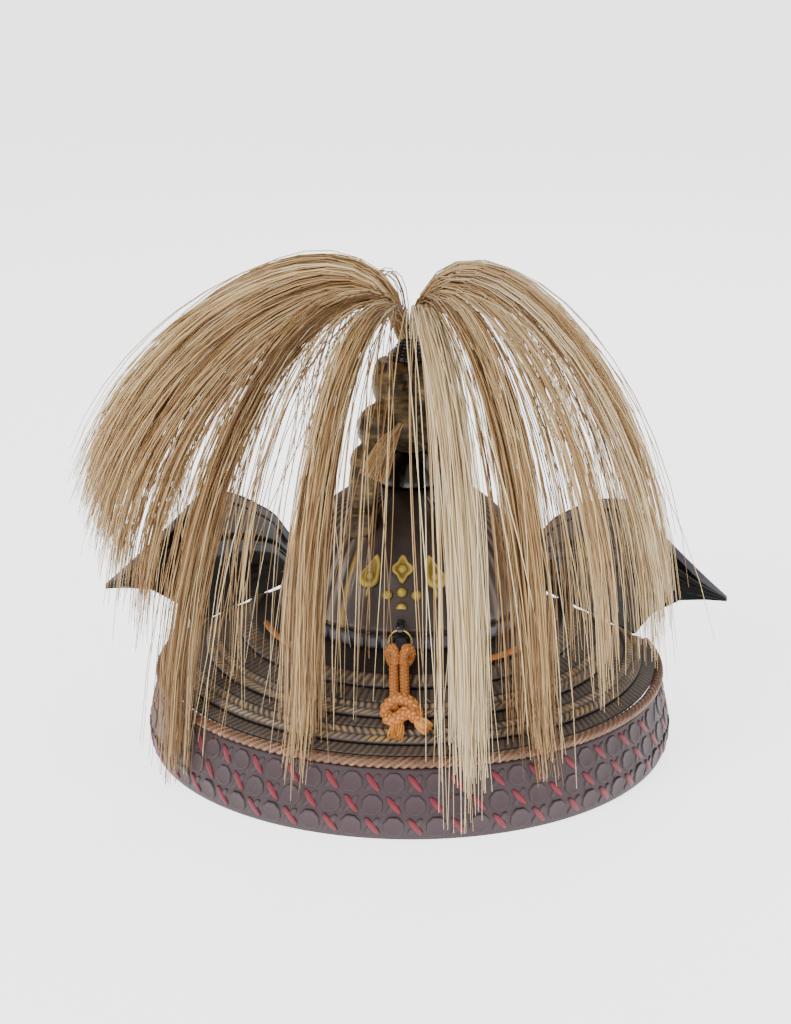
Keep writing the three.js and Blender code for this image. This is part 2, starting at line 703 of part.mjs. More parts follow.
// The cord lies on the lames. Places give the share down the guard's slope and the shift from the middle;
// the two legs lie side by side from the hitch to the knot.
const cordLift = cordBead + seatGap + cordDiameter / 2;
const onBackSlope = (x, share, lift) => onGuard(back, share, lift).setX(x);
const legSpacing = (cordDiameter + seatGap) / 2;
const legRoute = [
  { share: 0.2, shift: -0.2 },
  { share: 0.29, shift: 0.3 },
  { share: 0.38, shift: 0.9 },
  { share: 0.47, shift: 1.6 },
];
const knotShare = 0.6;
const knotShift = 4;
const knotLift = 0.85 * cordBead + knotHalfDepth;
function cordLeg(side) {
  const route = legRoute.map(({ share, shift }) => onBackSlope(shift + side * legSpacing, share, cordLift));
  const count = 8;
  const corners = Array.from({ length: count }, (_, j) => {
    const turn = ((j + 0.5) / count) * 2 * Math.PI;
    return new THREE.Vector2(Math.cos(turn), Math.sin(turn)).multiplyScalar(cordDiameter / 2);
  });
  const along = { steps: 3, extrudePath: new THREE.CatmullRomCurve3(route), bevelEnabled: false };
  return new THREE.ExtrudeGeometry(new THREE.Shape(corners), along);
}

// A squashed ball with its three half sizes.
const ball = (halfX, halfY, halfZ) => new THREE.SphereGeometry(1, 7, 5).scale(halfX, halfY, halfZ);

// The lie of the cord on the slope: X across, Y up the slope, Z off the lames.
const lieAt = (p) => new THREE.Matrix4().makeRotationX(guardSlope).setPosition(p);

// A block that removes all of the cord's knots above or below a place on the slope.
function slopeBlock(share, shift, way) {
  const reach = 4 * hitchLobe;
  const block = new THREE.BoxGeometry(2 * reach, 2 * reach, 2 * reach).translate(0, way * reach, 0);
  return solid(block.applyMatrix4(lieAt(onBackSlope(shift, share, cordLift))));
}

// The hitch wraps the foot of the ring with a lobe each side.
function cordHitch() {
  const foot = ringCentre.clone().add(ringFall);
  const legTop = onBackSlope(legRoute[0].shift, legRoute[0].share, cordLift);
  const middle = foot.clone().lerp(legTop, 0.5);
  const waist = ball(cordDiameter, 0.55 * cordDiameter, foot.distanceTo(legTop));
  const upward = foot.clone().sub(legTop).normalize();
  waist.applyQuaternion(new THREE.Quaternion().setFromUnitVectors(point(0, 0, 1), upward));
  let whole = solid(waist.translate(...middle.toArray()));
  for (const side of Object.values(sides)) {
    const lobe = ball(0.85 * hitchLobe, 0.7 * hitchLobe, 1.2 * hitchLobe).rotateX(guardSlope);
    whole = whole.add(solid(lobe.translate(foot.x + 0.8 * side * hitchLobe, foot.y, foot.z)));
  }
  const below = slopeBlock(legRoute[0].share - seatGap / guardRun, legRoute[0].shift, -1);
  return geometryFrom(whole.subtract(solid(ringBody(ringWire + seatGap))).subtract(below));
}

// The knot, with two short frayed ends below it.
const cordEnds = [
  { toSide: 0.1, turn: -6 },
  { toSide: 1.1, turn: 38 },
];
function cordKnot() {
  const lie = lieAt(onBackSlope(knotShift, knotShare, knotLift));
  let whole = solid(ball(knotHalfWidth, knotHalfLength, knotHalfDepth).applyMatrix4(lie));
  for (const { toSide, turn } of cordEnds) {
    const slim = 0.45 * cordEndRadius;
    const end = new THREE.CylinderGeometry(slim, cordEndRadius, cordEndLength, 8);
    end.scale(1, 1, 0.6).translate(0, -cordEndLength / 2 - 0.6 * knotHalfLength, 0);
    end.rotateZ(rad(turn)).translate(toSide * slim, 0, 0).applyMatrix4(lie);
    whole = whole.add(solid(end));
  }
  return geometryFrom(whole.subtract(slopeBlock(legRoute.at(-1).share + seatGap / guardRun, knotShift, 1)));
}

// Relief plates on the plain back of the bowl: angle from the helmet's back and tilt from the crown. A row
// with no outline is a plain round stud.
const relief = {
  rear_flower: { angle: 0, tilt: 54, outline: flowerOutline, boss: [0, 0] },
  rear_leaf_left: { angle: -17, tilt: 55.5, outline: () => leafOutline(1), boss: [0.08, -0.16] },
  rear_leaf_right: { angle: 17, tilt: 55.5, outline: () => leafOutline(-1), boss: [-0.08, -0.16] },
  rear_stud_left: { angle: -6.7, tilt: 64.8 },
  rear_stud_middle: { angle: 0, tilt: 63.6 },
  rear_stud_right: { angle: 6.7, tilt: 64.8 },
  rear_stud_low: { angle: 0, tilt: 70 },
};
function flowerOutline() {
  const points = Array.from({ length: 16 }, (_, j) => {
    const turn = (j / 16) * 2 * Math.PI;
    const radius = flowerRadius * (0.85 + 0.15 * Math.cos(4 * turn));
    return new THREE.Vector2(0.85 * radius * Math.cos(turn), 1.2 * radius * Math.sin(turn));
  });
  return new THREE.Shape(points);
}
function leafOutline(side) {
  const spot = (u, v) => [side * u * leafWidth, v * leafLength];
  const shape = new THREE.Shape();
  shape.moveTo(...spot(-0.5, -0.3));
  shape.quadraticCurveTo(...spot(0, -0.7), ...spot(0.5, -0.3));
  shape.lineTo(...spot(0.5, 0.2));
  shape.lineTo(...spot(0.2, 0.5));
  shape.quadraticCurveTo(...spot(-0.2, 0.1), ...spot(-0.5, -0.3));
  return shape;
}
function reliefPiece({ angle, tilt, outline, boss }) {
  const foot = onDome(back + angle, tilt, 0);
  const upSlope = onDome(back + angle, tilt - 0.5, 0).sub(foot).normalize();
  const sideways = onDome(back + angle + 0.5, tilt, 0).sub(foot).normalize();
  const outward = new THREE.Vector3().crossVectors(sideways, upSlope).normalize();
  const upward = new THREE.Vector3().crossVectors(outward, sideways);
  const lie = new THREE.Matrix4().makeBasis(sideways, upward, outward);
  lie.setPosition(foot);
  const stud = new THREE.SphereGeometry(studRadius, 8, 4).rotateX(Math.PI / 2).scale(1, 1, 0.7);
  if (!outline) return geometryFrom(solid(stud.applyMatrix4(lie)).subtract(crownSeat));
  const depth = 2 * reliefHeight;
  const plate = new THREE.ExtrudeGeometry(outline(), { depth, bevelEnabled: false, curveSegments: 4 });
  plate.translate(0, 0, reliefHeight + seatGap - depth).applyMatrix4(lie);
  stud.translate(boss[0] * leafWidth, boss[1] * leafLength, reliefHeight).applyMatrix4(lie);
  return geometryFrom(solid(plate).add(solid(stud)).subtract(crownSeat));
}

addPiece("bowl", bowl(), "lacquer");
addPiece("waist_band", waistBand(), "lacquer");
addPiece("neck_lame_1", topLame(), "lame");
lames.slice(1).forEach((row, i) => addPiece(`neck_lame_${i + 2}`, lame(row), "lame"));
addPiece("border_rope", borderRope(), "rope");
addPiece("rim_band", rimBand(), "rim");
addPiece("visor", visor(), "lacquer");
addPiece("crown_boss", crownBoss(), "black");
addPiece("crest_figure", beast(), "crest");
addPiece("crest_neck", crestNeck(), "black");
addPiece("tail_tuft", tuftBody(0), "hair");
addPiece("ring_staple", ringStaple(), "black");
addPiece("ring", ringBody(ringWire), "brass");
addPiece("cord_hitch", cordHitch(), "cord");
addPiece("cord_knot", cordKnot(), "cord");
for (const [name, side] of Object.entries(sides)) {
  addPiece(`wing_${name}`, wing(side), "wing");
  addPiece(`plume_${name}`, plume(name), "hair");
  addPiece(`cord_leg_${name}`, cordLeg(side), "cord");
  addPiece(`tie_loop_${name}`, stitch(side), "cord");
}
for (const [name, row] of Object.entries(relief)) addPiece(name, reliefPiece(row), "gilt");

// The origin lies under the middle of the helmet's length.
const bounds = new THREE.Box3().setFromObject(helmet);
helmet.position.y = -(bounds.min.y + bounds.max.y) / 2;

export default helmet;
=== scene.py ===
# A kabuto, a samurai's helmet, standing on its rim and seen from behind: a ribbed bowl on a band of small
# squares, a neck guard of laced lames ending in a deep rim, black side wings, a cast crest with a falling
# horsehair plume, and a doubled cord hanging from a ring. Shapes are worked out in millimetres about the
# bowl's upright axis, and put in the frame's metres as they become meshes.
import math

import bpy
import numpy as np
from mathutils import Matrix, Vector


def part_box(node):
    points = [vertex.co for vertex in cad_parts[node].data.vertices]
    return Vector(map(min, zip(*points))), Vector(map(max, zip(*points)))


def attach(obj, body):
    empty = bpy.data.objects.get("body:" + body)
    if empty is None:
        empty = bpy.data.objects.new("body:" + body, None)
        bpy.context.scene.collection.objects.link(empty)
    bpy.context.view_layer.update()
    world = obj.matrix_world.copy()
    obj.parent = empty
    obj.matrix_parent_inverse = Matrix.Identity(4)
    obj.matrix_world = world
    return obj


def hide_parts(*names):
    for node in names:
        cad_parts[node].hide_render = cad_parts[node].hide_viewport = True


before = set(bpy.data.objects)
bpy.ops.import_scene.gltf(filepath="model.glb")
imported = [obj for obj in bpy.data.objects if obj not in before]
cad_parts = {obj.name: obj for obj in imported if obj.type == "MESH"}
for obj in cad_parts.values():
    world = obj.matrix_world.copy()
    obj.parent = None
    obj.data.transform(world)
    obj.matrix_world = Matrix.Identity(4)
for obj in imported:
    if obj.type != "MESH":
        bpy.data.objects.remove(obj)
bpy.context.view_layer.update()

MM = 0.001
SIDES = ((-1, "left"), (1, "right"))
waist_low, waist_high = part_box("waist_band")
AXIS_Y = (waist_low.y + waist_high.y) / 2

# Waist band and bowl
WAIST_HALF_WIDTH = 103
WAIST_HALF_LENGTH = 121
WAIST_BOTTOM = 112
WAIST_TOP = 124
WAIST_STEP = 1.6
WAIST_WALL = 5
SEAT_GAP = 0.4
BOWL_WALL = 3
DOME_CENTRE = 108
DOME_RISE = 103
RIB_PITCH = 6
RIB_HEIGHT = 1.3
PLAIN_HALF_TURN = 24

# Neck guard
GUARD_RADIUS = 196.5
GUARD_BOTTOM = 60.5
GUARD_END = 106
LAME_TUCK = 2.6
LAME_WALL = 2.2
LAME_STEP = LAME_WALL + SEAT_GAP
LACED_FACE = 1.0
CORD_BEAD = 2.0
ROPE_RADIUS = 4
GUARD_SLOPE = math.atan2(WAIST_BOTTOM - GUARD_BOTTOM, GUARD_RADIUS - WAIST_HALF_LENGTH)
GUARD_RUN = math.hypot(WAIST_BOTTOM - GUARD_BOTTOM, GUARD_RADIUS - WAIST_HALF_LENGTH)

# Crest neck, plume and tail tuft
NECK_BOTTOM = 310.6
NECK_HEIGHT = 16
NECK_Y = -10
PLUME_ROOT = 327

# Ring and cord
RING_RADIUS = 8.5
RING_WIRE = 0.9
RING_TILT = 20
EYE = (0, -125, 131.5)
CORD = 7.4
CORD_LIFT = CORD_BEAD + SEAT_GAP + CORD / 2
LEG_SPACING = (CORD + SEAT_GAP) / 2
KNOT_SHARE = 0.6
KNOT_SHIFT = 4


def srgb(red, green, blue, alpha=1.0):
    """A colour given as a painter's 0 to 255, as the shader's linear numbers."""
    parts = [c / 255 for c in (red, green, blue)]
    return [c / 12.92 if c < 0.04 else ((c + 0.055) / 1.055) ** 2.4 for c in parts] + [alpha]


def mix(a, b, share):
    return a + (b - a) * share


# Places on the helmet, in millimetres. A turn is in degrees from the helmet's back, towards the wearer's
# right.
def on_ellipse(half_width, half_length, turn, z):
    turn, z = np.broadcast_arrays(np.radians(turn), z)
    return np.stack([half_width * np.sin(turn), -half_length * np.cos(turn), z], -1)


def on_dome(turn, tilt, more):
    out = np.sin(np.radians(tilt))
    z = DOME_CENTRE + (DOME_RISE + more) * np.cos(np.radians(tilt))
    shrink = WAIST_STEP - more
    return on_ellipse((WAIST_HALF_WIDTH - shrink) * out, (WAIST_HALF_LENGTH - shrink) * out, turn, z)


def on_guard(turn, share, lift):
    out = lift * math.sin(GUARD_SLOPE)
    half_width = mix(WAIST_HALF_WIDTH, GUARD_RADIUS, share) + out
    half_length = mix(WAIST_HALF_LENGTH, GUARD_RADIUS, share) + out
    z = mix(WAIST_BOTTOM, GUARD_BOTTOM, share) + lift * math.cos(GUARD_SLOPE)
    return on_ellipse(half_width, half_length, turn, z)


def on_back(shift, share, lift):
    """A place on the guard's slope behind the helmet, moved to one side."""
    place = on_guard(0.0, np.asarray(share, float), np.asarray(lift, float))
    place[..., 0] = shift
    return place


# Camera at the photograph's angle
CAMERA_AZIMUTH = math.radians(3.5)
CAMERA_ELEVATION = math.radians(17.5)
CAMERA_DISTANCE = 1.7
CAMERA_TARGET = Vector((-0.0113, AXIS_Y, 0.183))
CAMERA_LENS = 75.65


def add_camera():
    data = bpy.data.cameras.new("camera")
    data.lens = CAMERA_LENS
    data.sensor_width = 36
    camera = bpy.data.objects.new("camera", data)
    level = math.cos(CAMERA_ELEVATION)
    ahead = (math.sin(CAMERA_AZIMUTH) * level, -math.cos(CAMERA_AZIMUTH) * level)
    away = Vector((*ahead, math.sin(CAMERA_ELEVATION)))
    camera.location = CAMERA_TARGET + away * CAMERA_DISTANCE
    camera.rotation_euler = (-away).to_track_quat("-Z", "Y").to_euler()
    bpy.context.scene.collection.objects.link(camera)
    bpy.context.scene.camera = camera


add_camera()


class Socket:
    """An output socket whose arithmetic adds Math nodes to its tree."""

    def __init__(self, tree, socket):
        self.tree = tree
        self.socket = socket

    def math(self, operation, first, second=0.0):
        return self.tree.node("ShaderNodeMath", {"operation": operation}, {0: first, 1: second})

    def __add__(self, other):
        return self.math("ADD", self, other)

    __radd__ = __add__

    def __sub__(self, other):
        return self.math("SUBTRACT", self, other)

    def __rsub__(self, other):
        return self.math("SUBTRACT", other, self)

    def __mul__(self, other):
        return self.math("MULTIPLY", self, other)

    __rmul__ = __mul__


class Tree:
    """A node tree and the one method that adds any node to it."""

    def __init__(self, tree):
        self.tree = tree

    def node(self, kind, settings=None, sockets=None, output=0):
        made = self.tree.nodes.new(kind)
        for key, value in (settings or {}).items():
            if key == "stops":
                self.set_stops(made.color_ramp, value)
            else:
                setattr(made, key, value)
        for key, value in (sockets or {}).items():
            if isinstance(value, Socket):
                self.tree.links.new(value.socket, made.inputs[key])
            else:
                made.inputs[key].default_value = value
        return Socket(self, made.outputs[output]) if made.outputs else None

    def set_stops(self, ramp, stops):
        while len(ramp.elements) < len(stops):
            ramp.elements.new(1.0)
        for element, (position, colour) in zip(ramp.elements, stops):
            element.position = position
            element.color = colour


class Finish(Tree):
    """A material: constants go on its shader's sockets, and what varies is linked with feed."""

    def __init__(self, name, **constants):
        self.material = bpy.data.materials.new(name)
        self.material.use_nodes = True
        super().__init__(self.material.node_tree)
        self.shader = self.tree.nodes["Principled BSDF"]
        for key, value in constants.items():
            self.shader.inputs[key.replace("_", " ")].default_value = value

    def feed(self, name, value):
        self.tree.links.new(value.socket, self.shader.inputs[name])

    def attribute(self, name):
        return self.node("ShaderNodeAttribute", {"attribute_name": name}, output=2)

    def noise(self, scale, detail=2.0, stretch=(1, 1, 1), output=0):
        place = self.node("ShaderNodeTexCoord", output=3)
        stretched = self.node("ShaderNodeMapping", None, {"Vector": place, "Scale": stretch})
        sockets = {"Vector": stretched, "Scale": scale, "Detail": detail}
        return self.node("ShaderNodeTexNoise", None, sockets, output)

    def ramp(self, value, *stops):
        return self.node("ShaderNodeValToRGB", {"stops": stops}, {"Fac": value})

    def blend(self, share, first, second, blend_type="MIX"):
        settings = {"data_type": "RGBA", "blend_type": blend_type}
        return self.node("ShaderNodeMix", settings, {0: share, 6: first, 7: second}, 2)

    def clamp(self, value, low, high):
        sockets = {"Value": value, "From Min": low, "From Max": high}
        return self.node("ShaderNodeMapRange", {"clamp": True}, sockets)

    def bump(self, height, strength, distance):
        sockets = {"Height": height, "Strength": strength, "Distance": distance}
        self.feed("Normal", self.node("ShaderNodeBump", None, sockets))


def relief_finish(name, low, high, worn, roughness, metallic=0.0, wear=0.55, gilding=None):
    """Paint that is dark in the hollows, lighter on the high places and rubbed on the highest. Gilding goes
    on in patches where the gold attribute says."""
    finish = Finish(name, Metallic=metallic)
    height = finish.attribute("relief")
    mottle = finish.noise(60, 4)
    base = finish.blend(finish.clamp(height + 0.35 * mottle, 0.2, 0.95), low, high)
    if gilding:
        patches = finish.attribute("gold") * finish.clamp(finish.noise(55, 4), 0.46, 0.66)
        base = finish.blend(patches * finish.clamp(height, 0.3, 0.9), base, gilding)
    rubbed = finish.clamp(height + 0.9 * finish.noise(35, 3), 2 - wear - 0.35, 2 - wear)
    finish.feed("Base Color", finish.blend(rubbed, base, worn))
    finish.feed("Roughness", roughness + 0.12 * mottle)
    finish.bump(finish.noise(900, 3), 0.15, 0.0004)
    return finish.material


def lacquer_finish():
    finish = Finish("bowl_lacquer", Coat_Weight=0.25, Coat_Roughness=0.2)
    height = finish.attribute("relief")
    grain = finish.noise(40, 5, (1, 1, 0.35))
    plain = finish.ramp(grain, (0.3, srgb(36, 27, 24)), (0.6, srgb(62, 48, 42)), (0.8, srgb(84, 68, 58)))
    rib = finish.blend(finish.clamp(height, 0.3, 1.0), plain, srgb(116, 100, 86))
    gilded = finish.attribute("gilt") * finish.clamp(finish.noise(90, 4), 0.3, 0.55)
    finish.feed("Base Color", finish.blend(gilded, rib, srgb(150, 118, 40)))
    finish.feed("Roughness", 0.36 + 0.2 * grain)
    finish.bump(finish.noise(500, 4), 0.12, 0.0005)
    return finish.material


def wing_finish():
    finish = Finish("wing_gloss")
    finish.shader.inputs["Specular IOR Level"].default_value = 0.32
    # The flange's grey is painted sheen. The wing is black throughout, and the grey stands for the light its
    # rough rim scatters. The flange's higher roughness is real.
    flange = finish.attribute("flange")
    finish.feed("Base Color", finish.blend(flange, srgb(12, 12, 14), srgb(78, 78, 84)))
    finish.feed("Roughness", 0.12 + 0.4 * flange)
    return finish.material


def crest_finish():
    finish = Finish("crest_bronze", Metallic=0.4)
    mottle = finish.noise(70, 5)
    bands = finish.noise(160, 3, (0.5, 0.5, 1.6))
    base = finish.ramp(
        mottle * 0.55 + bands * 0.45,
        (0.3, srgb(20, 16, 12)),
        (0.45, srgb(52, 41, 28)),
        (0.57, srgb(98, 78, 48)),
        (0.7, srgb(156, 132, 80)),
    )
    finish.feed("Base Color", finish.blend(finish.attribute("hollow"), base, srgb(24, 17, 14)))
    finish.feed("Roughness", 0.34 + 0.3 * mottle)
    finish.bump(bands, 0.5, 0.002)
    return finish.material


def fibre_finish(name, stops, roughness):
    """Hair or cord fibre, toned strand by strand."""
    finish = Finish(name, Roughness=roughness)
    finish.shader.inputs["Specular IOR Level"].default_value = 0.35
    tone = finish.attribute("tone") + 0.18 * finish.noise(28, 2, (1, 1, 0.3)) - 0.09
    finish.feed("Base Color", finish.ramp(tone, *stops))
    return finish.material


def cord_finish():
    finish = Finish("cord_braid", Roughness=0.72)
    height = finish.attribute("relief")
    fibre = finish.noise(700, 3)
    base = finish.blend(finish.clamp(height, 0.15, 0.8), srgb(84, 42, 14), srgb(186, 112, 44))
    tips = finish.clamp(height * fibre, 0.42, 0.7)
    finish.feed("Base Color", finish.blend(tips, base, srgb(222, 172, 104)))
    finish.bump(fibre, 0.3, 0.0006)
    return finish.material


def plain_finish(name, colour, roughness, metallic=0.0, coat=0.0, tarnish=None):
    finish = Finish(name, Metallic=metallic, Coat_Weight=coat)
    mottle = finish.noise(110, 4)
    finish.feed("Base Color", finish.blend(finish.clamp(mottle, 0.4, 0.65), tarnish or colour, colour))
    finish.feed("Roughness", roughness + 0.1 * mottle)
    return finish.material


HAIR_STOPS = (
    (0.0, srgb(54, 38, 22)),
    (0.28, srgb(120, 88, 54)),
    (0.5, srgb(186, 148, 100)),
    (0.72, srgb(214, 186, 138)),
    (1.0, srgb(236, 220, 184)),
)
CORD_STOPS = (
    (0.0, srgb(120, 62, 18)),
    (0.5, srgb(208, 132, 52)),
    (1.0, srgb(246, 186, 104)),
)
# Painted relief: its name, colours in the hollows, on the high places and where it is rubbed, then roughness,
# metallic, how much is rubbed, and the gilding's colour.
PAINTS = {
    "waist": ("waist_paint", (24, 22, 26), (54, 53, 62), (96, 95, 104), 0.36, 0.0, 0.35, None),
    "lame": ("lame_paint", (24, 19, 16), (90, 76, 64), (160, 136, 100), 0.45, 0.0, 0.36, (156, 120, 60)),
    "rope": ("rope_paint", (30, 20, 15), (100, 68, 44), (172, 122, 92), 0.45, 0.1, 0.36, None),
    "rim": ("rim_paint", (42, 27, 30), (54, 36, 40), (84, 62, 64), 0.5, 0.0, 0.12, None),
    "stroke": ("stroke_paint", (50, 14, 24), (104, 4, 26), (140, 24, 46), 0.45, 0.0, 0.25, None),
    "gilt": ("relief_gilt", (70, 54, 20), (142, 118, 40), (196, 170, 84), 0.4, 0.35, 0.55, None),
}
finishes = {
    "lacquer": lacquer_finish(),
    "wing": wing_finish(),
    "black": plain_finish("black_gloss", srgb(14, 14, 15), 0.14, coat=0.4),
    "crest": crest_finish(),
    "hair": fibre_finish("horsehair", HAIR_STOPS, 0.42),
    "fray": fibre_finish("cord_fibre", CORD_STOPS, 0.7),
    "cord": cord_finish(),
    "brass": plain_finish("ring_brass", srgb(214, 186, 120), 0.2, 1.0, tarnish=srgb(150, 116, 60)),
}
for key, (name, low, high, worn, roughness, metallic, wear, gilding) in PAINTS.items():
    colours = [srgb(*colour) for colour in (low, high, worn)]
    gold = gilding and srgb(*gilding)
    finishes[key] = relief_finish(name, *colours, roughness, metallic, wear, gold)


def make_object(name, mesh):
    made = bpy.data.objects.new(name, mesh)
    bpy.context.scene.collection.objects.link(made)
    return made


def make_mesh(name, points, faces, values=None, edges=()):
    """A smooth mesh from millimetres about the bowl's axis. Values hold a number for each point, or one for
    all, under each name."""
    mesh = bpy.data.meshes.new(name)
    placed = np.asarray(points, float).reshape(-1, 3) * MM + (0, AXIS_Y, 0)
    mesh.from_pydata(placed.tolist(), list(edges), faces)
    for key, numbers in (values or {}).items():
        held = mesh.attributes.new(key, "FLOAT", "POINT")
        spread = np.broadcast_to(np.ravel(numbers), len(placed))
        held.data.foreach_set("value", spread.astype(np.float32))
    mesh.polygons.foreach_set("use_smooth", [True] * len(mesh.polygons))
    return mesh


def dress(made, finish, slot, *nodes):
    """Gives a finished piece its material and its place in the helmet. The slot argument is not used."""
    made.data.materials.clear()
    made.data.materials.append(finishes[finish])
    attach(made, "root")
    if nodes:
        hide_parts(*nodes)
    return made


def volume(points, faces):
    """Six times the volume inside the faces, each fanned from its first corner."""
    total = 0.0
    for size in {len(face) for face in faces}:
        corners = points[np.array([face for face in faces if len(face) == size])]
        for k in range(1, size - 1):
            cross = np.cross(corners[:, k], corners[:, k + 1])
            total += np.einsum("ij,ij->", corners[:, 0], cross)
    return total


def body_through(rings, goes_round=False, walls=False):
    """Points and faces of a closed body through rings. An open run is capped with one face at each end, or
    with a ladder of faces where a ring is the two sides of a wall."""
    rings = np.asarray(rings, float)
    runs, count = rings.shape[:2]
    i = np.arange(runs if goes_round else runs - 1)[:, None]
    j = np.arange(count)[None, :]
    near, far = i * count, (i + 1) % runs * count
    after = (j + 1) % count
    corners = np.broadcast_arrays(near + j, near + after, far + after, far + j)
    faces = np.stack(corners, -1).reshape(-1, 4).tolist()
    if not goes_round:
        last = (runs - 1) * count
        if walls:
            for j in range(count // 2 - 1):
                faces.append([j, count - 1 - j, count - 2 - j, j + 1])
                faces.append([last + k for k in (j, j + 1, count - 2 - j, count - 1 - j)])
        else:
            faces.append(list(range(count - 1, -1, -1)))
            faces.append([last + k for k in range(count)])
    points = rings.reshape(-1, 3)
    if volume(points, faces) < 0:
        faces = [face[::-1] for face in faces]
    return points, faces


def body_object(name, rings, values=None, **how):
    points, faces = body_through(rings, **how)
    return make_object(name, make_mesh(name, points, faces, values))


def joined(bodies):
    """Several bodies' points and faces as one."""
    points, faces, start = [], [], 0
    for body_points, body_faces in bodies:
        points.append(body_points)
        faces += [[k + start for k in face] for face in body_faces]
        start += len(body_points)
    return np.concatenate(points), faces


def turned_body(profile, sides):
    """Rings of an upright turned body from a table of radius and height."""
    turns = np.linspace(0, 2 * np.pi, sides, endpoint=False)
    radii, heights = np.array(profile, float).T[..., None]
    x = radii * np.cos(turns)
    y = radii * np.sin(turns)
    return np.stack([x, y, np.broadcast_to(heights, x.shape)], -1)


def smooth_line(points, count):
    """A line of count points through a few, eased at each (Catmull-Rom)."""
    points = np.asarray(points, float)
    points = np.concatenate([[2 * points[0] - points[1]], points, [2 * points[-1] - points[-2]]])
    spans = len(points) - 3
    t = np.linspace(0, spans, count)
    k = np.minimum(t.astype(int), spans - 1)
    t = (t - k)[:, None]
    a, b, c, d = (points[k + n] for n in range(4))
    return 0.5 * (2 * b + (c - a) * t + (2 * a - 5 * b + 4 * c - d) * t**2 + (3 * b - a - 3 * c + d) * t**3)


def frames_along(line):
    """Unit vectors across a line and square to it, carried along it without twisting."""
    ahead = np.gradient(line, axis=0)
    ahead /= np.linalg.norm(ahead, axis=1)[:, None]
    across = np.zeros_like(line)
    start = np.cross(ahead[0], (0.3, 0.1, 1.0))
    across[0] = start / np.linalg.norm(start)
    for i in range(1, len(line)):
        moved = across[i - 1] - ahead[i] * (across[i - 1] @ ahead[i])
        across[i] = moved / np.linalg.norm(moved)
    return across, np.cross(ahead, across)


# Geometry Nodes
def node_group(name, inputs):
    """A new geometry tree with named inputs, and its sockets by name."""
    group = bpy.data.node_groups.new(name, "GeometryNodeTree")
    group.is_modifier = True
    group.interface.new_socket("Geometry", in_out="OUTPUT", socket_type="NodeSocketGeometry")
    for key, kind in {"Geometry": "NodeSocketGeometry", **inputs}.items():
        group.interface.new_socket(key, in_out="INPUT", socket_type=kind)
    tree = Tree(group)
    entry = group.nodes.new("NodeGroupInput")
    sockets = {key: Socket(tree, entry.outputs[key]) for key in ["Geometry", *inputs]}
    return tree, sockets


def end_group(tree, geometry, material):
    """Ends a geometry tree in Realize Instances and Set Material."""
    real = tree.node("GeometryNodeRealizeInstances", None, {"Geometry": geometry})
    painted = tree.node("GeometryNodeSetMaterial", None, {"Geometry": real, "Material": material})
    tree.node("NodeGroupOutput", None, {"Geometry": painted})
    return tree.tree


def fibre_group():
    """Turns each run of edges into a fine closed tube, as thick as its points' thick attribute says."""
    inputs = {"Sides": "NodeSocketInt", "Material": "NodeSocketMaterial"}
    tree, given = node_group("fibres", inputs)
    thick = tree.node("GeometryNodeInputNamedAttribute", {"data_type": "FLOAT"}, {"Name": "thick"})
    curve = tree.node("GeometryNodeMeshToCurve", None, {"Mesh": given["Geometry"]})
    section = {"Resolution": given["Sides"], "Radius": 1.0}
    circle = tree.node("GeometryNodeCurvePrimitiveCircle", {"mode": "RADIUS"}, section)
    tubes = {"Curve": curve, "Profile Curve": circle, "Scale": thick, "Fill Caps": True}
    return end_group(tree, tree.node("GeometryNodeCurveToMesh", None, tubes), given["Material"])


def scatter_group():
    """Puts a copy of one small shape on each point, turned as the point's lie attribute says."""
    inputs = {"Shape": "NodeSocketObject", "Material": "NodeSocketMaterial"}
    tree, given = node_group("scatter", inputs)
    lie = tree.node("GeometryNodeInputNamedAttribute", {"data_type": "FLOAT_VECTOR"}, {"Name": "lie"})
    shape = tree.node("GeometryNodeObjectInfo", None, {"Object": given["Shape"]}, "Geometry")
    points = tree.node("GeometryNodeMeshToPoints", None, {"Mesh": given["Geometry"]})
    placed = {"Points": points, "Instance": shape, "Rotation": lie}
    return end_group(tree, tree.node("GeometryNodeInstanceOnPoints", None, placed), given["Material"])


groups = {"fibres": fibre_group(), "scatter": scatter_group()}


def grown(name, mesh, group, **inputs):
    """A plain mesh object from a mesh run through a geometry tree, its inputs set by their identifiers."""
    seed = make_object(name + "_seed", mesh)
    modifier = seed.modifiers.new("grow", "NODES")
    modifier.node_group = groups[group]
    for item in groups[group].interface.items_tree:
        if item.in_out == "INPUT" and item.name in inputs:
            modifier[item.identifier] = inputs[item.name]
    seen = seed.evaluated_get(bpy.context.evaluated_depsgraph_get())
    result = bpy.data.meshes.new_from_object(seen)
    bpy.data.objects.remove(seed)
    result.polygons.foreach_set("use_smooth", [True] * len(result.polygons))
    return make_object(name, result)


def fibres(name, lines, thick, tone, finish, sides=3):
    """Fine tubes along lines, an array of line, point and place; thick is each point's radius."""
    count, steps = lines.shape[:2]
    first = np.arange(count)[:, None] * steps + np.arange(steps - 1)[None, :]
    edges = np.stack([first, first + 1], -1).reshape(-1, 2).tolist()
    values = {
        "thick": np.broadcast_to(thick, (count, steps)) * MM,
        "tone": np.broadcast_to(np.reshape(tone, (-1, 1)), (count, steps)),
    }
    mesh = make_mesh(name + "_lines", lines, [], values, edges)
    return grown(name, mesh, "fibres", Sides=sides, Material=finishes[finish])


